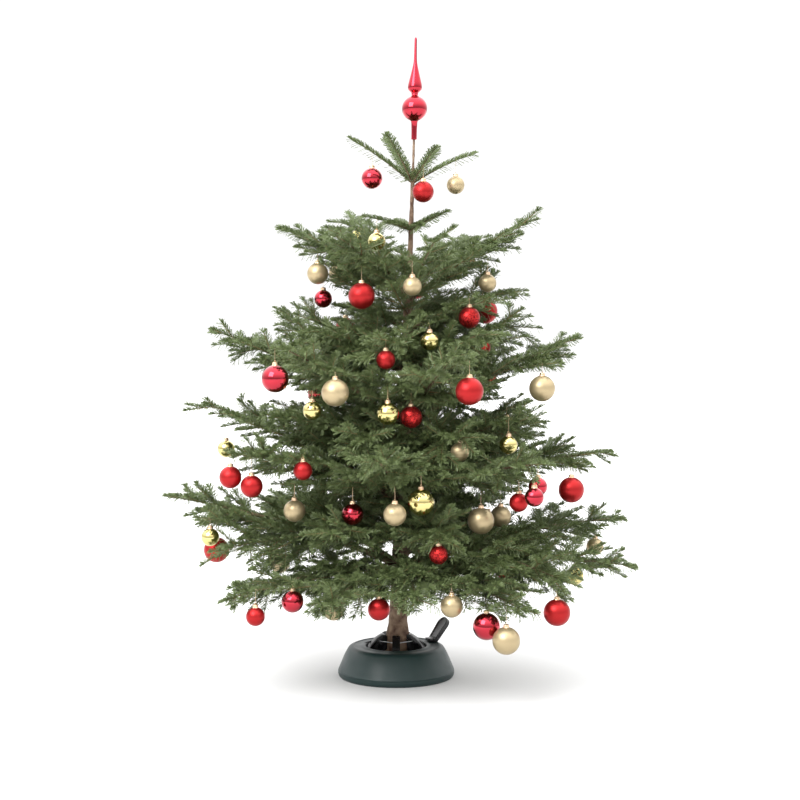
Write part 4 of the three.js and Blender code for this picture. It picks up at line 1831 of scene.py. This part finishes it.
            dress(piece, metal)
            smooth(piece, 40)
            settle(piece, [])

    def copy(
        self,
        batch: Batch,
        shape: tuple[np.ndarray, np.ndarray],
        turn: np.ndarray,
        place: np.ndarray,
    ) -> None:
        """Adds a turned copy of a shape to a batch.

        Args:
            batch: the batch.
            shape: the shape's points and triangles.
            turn: the matrix that turns and sizes it.
            place: where its origin goes.
        """
        points = shape[0] @ turn.T + place
        batch.add(points, shape[1], np.zeros(len(shape[1]), int))


def ball_hook(points: np.ndarray, length: float) -> np.ndarray:
    """Draws a hook out to a length, keeping its eye and crook as they are.

    Args:
        points: the points of a hook one metre long.
        length: the length wanted.

    Returns:
        The points of that hook.
    """
    made = points.copy()
    high = points[:, 2] > 0.5
    made[high, 2] += length - 1
    return made


# ---------- studio ----------


@dataclass
class Studio:
    """The camera, the white backdrop and the soft light."""

    camera_place: tuple[float, float, float] = (0.012, -5.0, 1.12)
    tilt: float = 2.82  # degrees below level
    lens: float = 71.64
    sensor: float = 36.0
    floor_size: float = 60.0
    bright: float = 1.1  # the backdrop's strength, which shows as pure white
    dim: float = 0.7  # and the dark side of the room
    overhead: float = 2.4  # what the bright ceiling adds

    def camera(self) -> None:
        """Stands the camera before the tree."""
        data = bpy.data.cameras.new("camera")
        data.lens = self.lens
        data.sensor_width = self.sensor
        made = bpy.data.objects.new("camera", data)
        made.location = self.camera_place
        made.rotation_euler = (math.radians(90 - self.tilt), 0, 0)
        bpy.context.scene.collection.objects.link(made)
        bpy.context.scene.camera = made

    def floor(self) -> None:
        """Lays the pale floor."""
        deselect()
        bpy.ops.mesh.primitive_plane_add(size=self.floor_size, location=(0, 0, 0))
        made = bpy.context.object
        made.name = "floor"
        dress(made, FLOOR_PAPER.material())

    def light(self) -> None:
        """Surrounds the tree with soft white light, strong above and weaker behind the camera."""
        world = bpy.data.worlds.new("studio")
        world.use_nodes = True
        bpy.context.scene.world = world
        tree = world.node_tree
        way = add_node(tree, "ShaderNodeTexCoord", {}).outputs["Generated"]
        parts = add_node(tree, "ShaderNodeSeparateXYZ", {"Vector": way})
        ranges = {
            "Y": {"From Min": -0.8, "From Max": 0.1, "To Min": self.dim, "To Max": self.bright},
            "Z": {"From Min": 0.1, "From Max": 0.9, "To Min": 0.0, "To Max": self.overhead},
        }
        level, above = (
            add_node(tree, "ShaderNodeMapRange", {"Value": parts.outputs[axis], **ends})
            for axis, ends in ranges.items()
        )
        glow = add_node(
            tree,
            "ShaderNodeMath",
            {0: level.outputs["Result"], 1: above.outputs["Result"]},
            operation="ADD",
        )
        seen = add_node(tree, "ShaderNodeLightPath", {}).outputs["Is Camera Ray"]
        strength = add_node(
            tree,
            "ShaderNodeMix",
            {"Factor": seen, "A": glow.outputs[0], "B": self.bright},
        )
        paper = tree.nodes["Background"]
        paper.inputs["Color"].default_value = (1, 1, 1, 1)
        tree.links.new(strength.outputs["Result"], paper.inputs["Strength"])
        self.softbox("key", (-2.8, -3.8, 4.4), 3.6, 330)

    def softbox(self, name: str, place: tuple[float, float, float], size: float, power: float) -> None:
        """Hangs a square light that faces the tree's middle.

        Args:
            name: the light's name.
            place: where it hangs.
            size: its side.
            power: its power in watts.
        """
        data = bpy.data.lights.new(name, "AREA")
        data.shape = "SQUARE"
        data.size = size
        data.energy = power
        made = bpy.data.objects.new(name, data)
        made.location = place
        aim = Vector((0, 0, 0.9)) - Vector(place)
        made.rotation_euler = aim.to_track_quat("-Z", "Y").to_euler()
        bpy.context.scene.collection.objects.link(made)

    def build(self) -> None:
        """Sets up the whole studio."""
        self.camera()
        self.floor()
        self.light()
        bpy.context.scene.view_settings.view_transform = "Standard"


def main() -> None:
    """Builds the studio and the tree, part by part."""
    logging.basicConfig(level=logging.INFO, format="%(name)s: %(message)s")
    studio = Studio()
    studio.build()
    Stand().build()
    Spire().build()
    crown = Crown()
    crown.grow()
    ornaments = Ornaments(crown, np.array(studio.camera_place))
    ornaments.plan()
    ornaments.collect()
    Trunk().build(crown)
    Foliage(crown).build(ornaments.free)


if __name__ == "__main__":
    main()
